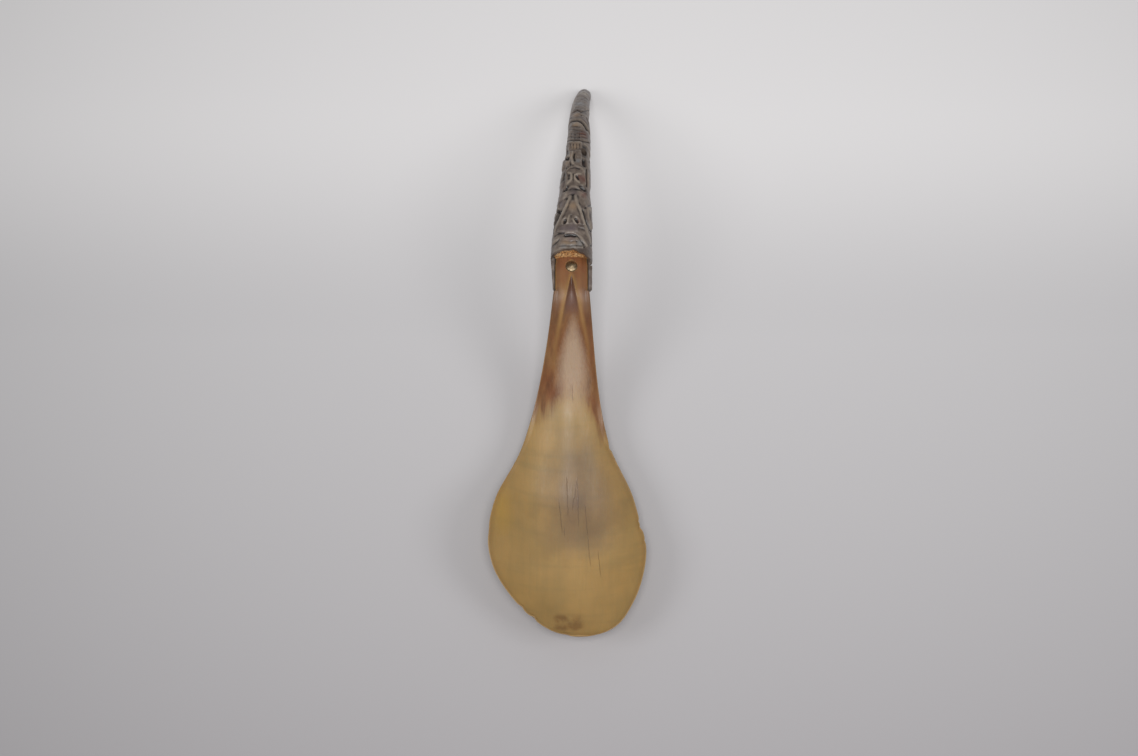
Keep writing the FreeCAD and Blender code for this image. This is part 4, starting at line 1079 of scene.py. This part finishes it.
def bowlMaterial(places):
    # Mountain sheep or goat horn, steamed and spread: brown at the stem, clear amber in the bowl, satin; the
    # sheen on the stem, the highlights on its ridges and rim and the glow of the left wall are painted
    colours = {
        "amber": "#9a7e4e", "honey": "#ac8a54", "paintedGlow": "#b99240", "tanAndSheen": "#b79f87", "umber": "#4f2e1b",
        "stem": "#80502e", "groove": "#67473a", "violet": "#5c4639", "crack": "#3a2217", "stain": "#6a4628",
        "olive": "#85744c", "rim": "#74502a", "paintedRimHighlight": "#b0904f", "ridgeHighlights": "#a07a45",
    }
    material, tree = newMaterial("amberGoatHorn")
    place = addNode(tree, "TexCoord")["Object"]
    x, y, _ = addNode(tree, "SeparateXYZ", {0: place})
    # clouds 17 mm across; from stem to toe growth fibres 2 mm wide and 38 mm long, and scratches of 0.4 mm
    # by 8 mm; across them bands of 3 mm by 56 mm; the cracks wander over 2 mm, the stain has 4 mm flecks
    cloud, fibres, scratches, bands, wander, flecks = patterns(tree, place, {
        "cloud": ((60, 60, 60), 4, 0.5), "fibres": ((520, 26, 200), 5, 0.6),
        "scratches": ((2600, 120, 900), 3, 0.5), "bands": ((18, 330, 60), 2, 0.5),
        "wander": ((450, 450, 450), 2, 0.5), "flecks": ((260, 260, 260), 3, 0.5),
    })

    def zone(centre, reach):
        # how far from the middle of an egg-shaped patch, in shares of its reach and with a cloudy edge
        centre, shrink = [part * mm for part in centre], [1 / (part * mm) for part in reach]
        moved = addNode(tree, "VectorMath", {0: place, 1: centre}, operation="SUBTRACT")[0]
        shrunk = addNode(tree, "VectorMath", {0: moved, 1: shrink}, operation="MULTIPLY")[0]
        far = addNode(tree, "VectorMath", {0: shrunk}, operation="LENGTH")["Value"]
        return addNode(tree, "Math", {0: cloud, 1: 0.9, 2: far}, operation="MULTIPLY_ADD")[0]

    def within(axis, low, high, soft):
        # 1 between two places in mm along an axis, fading out at both
        off = addNode(tree, "Math", {0: axis, 1: (low + high) / 2 * mm}, operation="SUBTRACT")[0]
        off = addNode(tree, "Math", {0: off}, operation="ABSOLUTE")[0]
        half = abs(high - low) / 2
        limits = {"Value": off, "From Min": (half + 0.6) * mm, "From Max": (half - soft) * mm}
        return addNode(tree, "MapRange", limits)[0]

    base = over(tree, colours["honey"], cloud, colours["amber"], 0.3, 0.7)
    base = over(tree, colours["olive"], bands, base, 0.5, 0.75, 0.25)
    base = over(tree, colours["violet"], zone((4, 17, 4), (20, 30, 24)), base, 1.5, 0.5, 0.85)
    # painted glow: the left wall painted lighter and more golden
    base = over(tree, colours["paintedGlow"], zone((-28, 10, 20), (6.5, 13, 12)), base, 1.5, 0.7, 0.45)
    base = over(tree, colours["olive"], fibres, base, 0.45, 0.7, 0.2)
    layers = readLayers(tree, "nearRim", "groove", "ridgeHighlights", "sheen", "brown", "flanks")
    # the brown of the stem ends in a ragged line near the neck
    ragged = addNode(tree, "Math", {0: fibres, 1: 0.9, 2: layers["brown"]}, operation="MULTIPLY_ADD")[0]
    stemTone = over(tree, colours["stem"], cloud, base, most=1.7)
    stemTone = over(tree, colours["umber"], fibres, stemTone, 0.42, 0.75, 0.6)
    base = over(tree, stemTone, ragged, base, 0.62, 1.15)
    # painted sheen: a satin reflection over the stem's channel, painted in tan and broken by the scratches
    sheen = addNode(tree, "Math", {0: scratches, 1: 0.5, 2: layers["sheen"]}, operation="MULTIPLY_ADD")[0]
    base = over(tree, colours["tanAndSheen"], sheen, base, 0.35, 1.25, 0.85)
    base = over(tree, colours["umber"], layers["flanks"], base, most=0.5)
    # painted highlights on the two ridges beside the groove
    base = over(tree, colours["ridgeHighlights"], layers["ridgeHighlights"], base, most=0.6)
    base = over(tree, colours["groove"], layers["groove"], base, most=0.9)
    # the rim is painted darker near its edge, with a painted highlight along the edge itself
    base = over(tree, colours["rim"], layers["nearRim"], base, 2.4, 0.5, 0.3)
    base = over(tree, colours["paintedRimHighlight"], layers["nearRim"], base, 0.4, 0.1, 0.25)
    # old drying cracks and one square water stain, each placed by the photograph
    cracks = {
        "leftShort": [(566.7, 477), (567.4, 515)], "middleShort": [(578, 478), (572, 510)],
        "long": [(584.8, 503.7), (587.2, 535.6), (590.4, 566.7)],
        "lowRight": [(598.4, 551.5), (600.8, 575.4)],
        "tiny": [(564, 526), (564.6, 536)], "stem": [(572.8, 385), (572.4, 402)],
        "leftLow": [(560, 499), (562, 534)], "middleLong": [(577, 480), (578, 527)],
    }
    stainPlaces = {"corner": (552.6, 612), "farCorner": (584.8, 633)}
    insidePlaces = places[:, : bowl["columnsInside"]]
    px, py = toPhoto(insidePlaces)

    def inBowl(spot):
        gap = (px - spot[0]) ** 2 + (py - spot[1]) ** 2
        return insidePlaces[np.unravel_index(np.argmin(gap), gap.shape)]

    crackAll = 0.0
    for spots in cracks.values():
        for start, end in zip(spots, spots[1:]):
            low, high = sorted((inBowl(start), inBowl(end)), key=lambda point: point[1])
            slope = (high[0] - low[0]) / (high[1] - low[1])
            # a line that wanders by 0.35 mm to either side
            begin = (low[0] - slope * low[1] - 0.35) * mm
            line = addNode(tree, "Math", {0: y, 1: slope, 2: begin}, operation="MULTIPLY_ADD")[0]
            wavy = addNode(tree, "Math", {0: wander, 1: 0.7 * mm, 2: line}, operation="MULTIPLY_ADD")[0]
            gap = addNode(tree, "Math", {0: x, 1: wavy}, operation="SUBTRACT")[0]
            gap = addNode(tree, "Math", {0: gap}, operation="ABSOLUTE")[0]
            limits = {"Value": gap, "From Min": 0.26 * mm, "From Max": 0.05 * mm}
            thin = addNode(tree, "MapRange", limits)[0]
            length = within(y, low[1], high[1], 1.5)
            crack = addNode(tree, "Math", {0: thin, 1: length}, operation="MULTIPLY")[0]
            crackAll = addNode(tree, "Math", {0: crackAll, 1: crack}, operation="MAXIMUM")[0]
    base = over(tree, colours["crack"], crackAll, base, most=0.38)
    near, far = inBowl(stainPlaces["corner"]), inBowl(stainPlaces["farCorner"])
    across, down = within(x, near[0], far[0], 1.8), within(y, near[1], far[1], 1.8)
    square = addNode(tree, "Math", {0: across, 1: down}, operation="MULTIPLY")[0]
    worn = addNode(tree, "MapRange", {"Value": flecks, "From Min": 0.3, "From Max": 0.62})[0]
    stain = addNode(tree, "Math", {0: square, 1: worn}, operation="MULTIPLY")[0]
    base = over(tree, colours["stain"], stain, base, most=0.55)
    limits = {"Value": scratches, "From Min": 0.3, "From Max": 0.7, "To Min": 0.34, "To Max": 0.5}
    rough = addNode(tree, "MapRange", limits)[0]
    height = addNode(tree, "Math", {0: fibres, 1: 0.7, 2: scratches}, operation="MULTIPLY_ADD")[0]
    height = addNode(tree, "Math", {0: crackAll, 1: -2.0, 2: height}, operation="MULTIPLY_ADD")[0]
    bump = addNode(tree, "Bump", {"Strength": 0.3, "Distance": 0.12 * mm, "Height": height})[0]
    return shade(material, {
        "Base Color": base, "Roughness": rough, "IOR": 1.54, "Subsurface Weight": 0.12,
        "Subsurface Radius": (1.0, 0.5, 0.2), "Subsurface Scale": 1.5 * mm, "Normal": bump,
    })


hornBowl, bowlSurface = shapeBowl()
cutAway(hornBowl, bore("headBore", 2.55, joint["crown"] - joint["seatDepth"], True))
finishPiece(hornBowl, bowlMaterial(bowlSurface), "bowl")
print("bowl: spread, channelled and seated")

# ---- the rivet
rivetSizes = {
    "grip": 7.0, "shank": 1.2, "head": 2.3, "headHeight": 0.9, "tail": 1.9, "tailHeight": 0.7,
    "segments": 96
}


def makeRivet():
    tail, head, shank = rivetSizes["tail"], rivetSizes["head"], rivetSizes["shank"]
    top = joint["crown"] - joint["seatDepth"]
    bottom = top - (rivetSizes["grip"] - 2 * joint["seatDepth"])
    # radius and height of each step, from the middle of the tail to the middle of the head
    steps = [
        (tail * math.sin(a), bottom - rivetSizes["tailHeight"] * math.cos(a))
        for a in np.linspace(0.12, 1.35, 7)
    ]
    steps += [(tail, bottom - 0.06), (tail - 0.06, bottom), (shank, bottom), (shank, top)]
    steps += [(head - 0.08, top), (head, top + 0.08)]
    steps += [
        (head * math.cos(a), top + rivetSizes["headHeight"] * math.sin(a))
        for a in np.linspace(0.15, 1.5, 14)
    ]
    piece = turned("rivetForged", steps, rivetSizes["segments"])
    # hammer blows: shallow facets on the head and the tail
    for vertex in piece.data.vertices:
        x, y, high = vertex.co.x / mm, vertex.co.y / mm - joint["rivetY"], vertex.co.z / mm
        if high > top + 0.1 or high < bottom - 0.08:
            dent = 0.045 * (math.sin(3.1 * x + 1.2 * y) + math.sin(2.3 * y - 1.4 * x + 1.1)) - 0.05
            vertex.co.z += dent * mm * (1 if high > top else -1)
    return piece


def rivetMaterial():
    # Trade brass wire, peened and tarnished: warm yellow-grey, dull in its hollows, bright where rubbed
    colours = {"bright": "#b7a383", "dull": "#5c4a38"}
    material, tree = newMaterial("peenedBrass")
    place = addNode(tree, "TexCoord")["Object"]
    # tarnish about 1.1 mm across, grit of 0.3 mm
    tarnish, grit = patterns(tree, place, {
        "tarnish": ((900, 900, 900), 5, 0.65), "grit": ((3500, 3500, 3500), 3, 0.5),
    })
    base = over(tree, colours["dull"], tarnish, colours["bright"], 0.38, 0.66)
    limits = {"Value": tarnish, "From Min": 0.3, "From Max": 0.7, "To Min": 0.32, "To Max": 0.6}
    rough = addNode(tree, "MapRange", limits)[0]
    bump = addNode(tree, "Bump", {"Strength": 0.4, "Distance": 0.06 * mm, "Height": grit})[0]
    return shade(material, {"Base Color": base, "Metallic": 1.0, "Roughness": rough, "Normal": bump})


finishPiece(makeRivet(), rivetMaterial(), "rivet")
print("rivet: peened")

# ---- the packing wedge
packing = {"foot": 107.9, "end": 118.0, "lean": 2.0, "rows": 60, "columns": 90, "pit": 0.16, "room": 0.06}


def makePacking():
    def leaning(z):
        # its end leans back, from the tongue's crown up to the roof
        return packing["lean"] * np.clip((z - joint["crown"]) / (joint["roof"] - joint["crown"]), 0, 1)

    across, up = ovalAcross(np.linspace(0, 1, packing["columns"]))
    rows = []
    for step in np.linspace(0, 1, packing["rows"]):
        y = packing["foot"] + step * (packing["end"] - packing["foot"])
        half, high = (size - packing["room"] for size in socketAt(y))
        topZ = joint["height"] + np.maximum(high * up, 0)
        lowX = (half - 0.45) * np.cos(np.linspace(0, math.pi, packing["columns"]))
        lowZ = joint["crown"] + 0.03 - joint["tongueCrown"] * (lowX / joint["tongueHalf"]) ** 2
        x, z = np.concatenate([half * across, lowX]), np.concatenate([topZ, lowZ])
        loop = np.stack([x, y + leaning(z) * (1 - step), z], -1)
        rows.append(np.concatenate([loop, loop[:1]]))
    # the foot is closed by rows that draw in to its middle, so that its face can be pitted
    foot = rows[0]
    middle = foot[:-1].mean(axis=0)
    middle[2] = (joint["crown"] + joint["roof"]) / 2
    faces = []
    for share in np.linspace(0, 1, 24)[:-1]:
        ring = middle + (foot - middle) * share
        x, z = ring[:, 0], ring[:, 2]
        pits = np.sin(x * 4.7 + 1) * np.sin(z * 6.3) + np.sin(x * 9.1 + z * 3.3)
        ring[:, 1] = packing["foot"] + leaning(z) + packing["pit"] * pits * (1 - share**6)
        faces.append(ring)
    return wrapGrid("packingWood", np.array(faces + rows)[:, ::-1])


def packingMaterial():
    # Split softwood, end grain out and weathered: pale straw with orange pits, quite matt
    colours = {"straw": "#d8b07c", "orange": "#b87a3e", "pit": "#6e3f1c"}
    material, tree = newMaterial("splitSoftwood")
    place = addNode(tree, "TexCoord")["Object"]
    # clouds 2 mm across and fibre ends 0.7 mm apart, as coarse as they need to be to show
    (cloud,) = patterns(tree, place, {"cloud": ((500, 500, 500), 4, 0.5)})
    cells = addNode(tree, "TexVoronoi", {"Vector": place, "Scale": 1500.0})["Distance"]
    base = over(tree, colours["orange"], cloud, colours["straw"], 0.4, 0.65)
    base = over(tree, colours["pit"], cells, base, 0.42, 0.7, 0.7)
    bump = addNode(tree, "Bump", {"Strength": 0.6, "Distance": 0.3 * mm, "Height": cells}, invert=True)[0]
    rough = addNode(tree, "MapRange", {"Value": cloud, "To Min": 0.7, "To Max": 0.95})[0]
    return shade(material, {"Base Color": base, "Roughness": rough, "Normal": bump})


finishPiece(makePacking(), packingMaterial(), "packing_wedge")
print("packing: driven in")

# ---- studio: a pale paper floor with painted light falloff, two soft lamps at the sides and one above the camera
studio = {
    "floorSize": 6.0,
    "fillTone": "#f4f4f6",
    "nearTone": "#a9a6a8",
    "middleTone": "#c9c7c8",
    "farTone": "#e6e4e4",
    # painted light falloff: the paper's colour darkens to the sides away from its brightest place
    "paintedFalloff": 2.15,  # how fast the paper darkens to the sides, in shares for each square metre
    "paintedBrightX": 0.06,
    "lamps": {  # place, size and power
        "leftLamp": ((-0.8, -0.2, 0.85), 0.5, 2.9),
        "rightLamp": ((0.8, -0.2, 0.85), 0.5, 2.9),
        "topLamp": ((0.0, -0.3, 1.1), 0.35, 5.9),
    },
    "fill": 0.32,
}


def makeStudio():
    ready()
    bpy.ops.mesh.primitive_plane_add(size=studio["floorSize"])
    floor = bpy.context.object
    floor.name = "paperFloor"
    material, tree = newMaterial("matPaper")
    place = addNode(tree, "TexCoord")["Object"]
    x, y, _ = addNode(tree, "SeparateXYZ", {0: place})
    aside = addNode(tree, "Math", {0: x, 1: studio["paintedBrightX"]}, operation="SUBTRACT")[0]
    aside = addNode(tree, "Math", {0: aside, 1: 2.0}, operation="POWER")[0]
    toSide = addNode(tree, "Math", {0: aside, 1: -studio["paintedFalloff"], 2: 1.0}, operation="MULTIPLY_ADD")[0]
    toSide = addNode(tree, "Math", {0: toSide, 1: 0.6}, operation="MAXIMUM")[0]
    # paper grain about 0.7 mm across
    (grain,) = patterns(tree, place, {"grain": ((1400, 1400, 1400), 2, 0.5)})
    # painted light falloff: the paper is painted darker towards the camera, lighter far from it, and darker
    # to the sides
    base = over(tree, studio["middleTone"], y, studio["nearTone"], -0.1, 0.09)
    base = over(tree, studio["farTone"], y, base, 0.09, 0.2, interpolation_type="SMOOTHSTEP")
    base = addNode(tree, "VectorMath", {0: base, "Scale": toSide}, operation="SCALE")[0]
    bump = addNode(tree, "Bump", {"Strength": 0.05, "Distance": 0.1 * mm, "Height": grain})[0]
    floor.data.materials.append(
        shade(material, {"Base Color": base, "Roughness": 0.95, "Specular IOR Level": 0.2, "Normal": bump})
    )
    centre = Vector((0, 0.08, 0.02))
    for name, (spot, size, power) in studio["lamps"].items():
        bpy.ops.object.light_add(type="AREA", location=spot)
        lamp = bpy.context.object
        lamp.name = name
        lamp.data.size, lamp.data.energy = size, power
        lamp.rotation_euler = (centre - lamp.location).to_track_quat("-Z", "Y").to_euler()
    world = bpy.data.worlds.new("studioAir")
    world.use_nodes = True
    background = world.node_tree.nodes["Background"]
    background.inputs["Color"].default_value = linear(studio["fillTone"])
    background.inputs["Strength"].default_value = studio["fill"]
    bpy.context.scene.world = world


def placeCamera():
    bpy.ops.object.camera_add(location=Vector(cameraPlace) * mm, rotation=(tilt, 0, 0))
    camera = bpy.context.object
    camera.data.lens = photo["lens"]
    camera.data.sensor_width = photo["sensor"]
    bpy.context.scene.camera = camera


ready()
makeStudio()
placeCamera()
bpy.context.scene.view_settings.view_transform = "Standard"
print("studio: floor, lamps and camera are up")
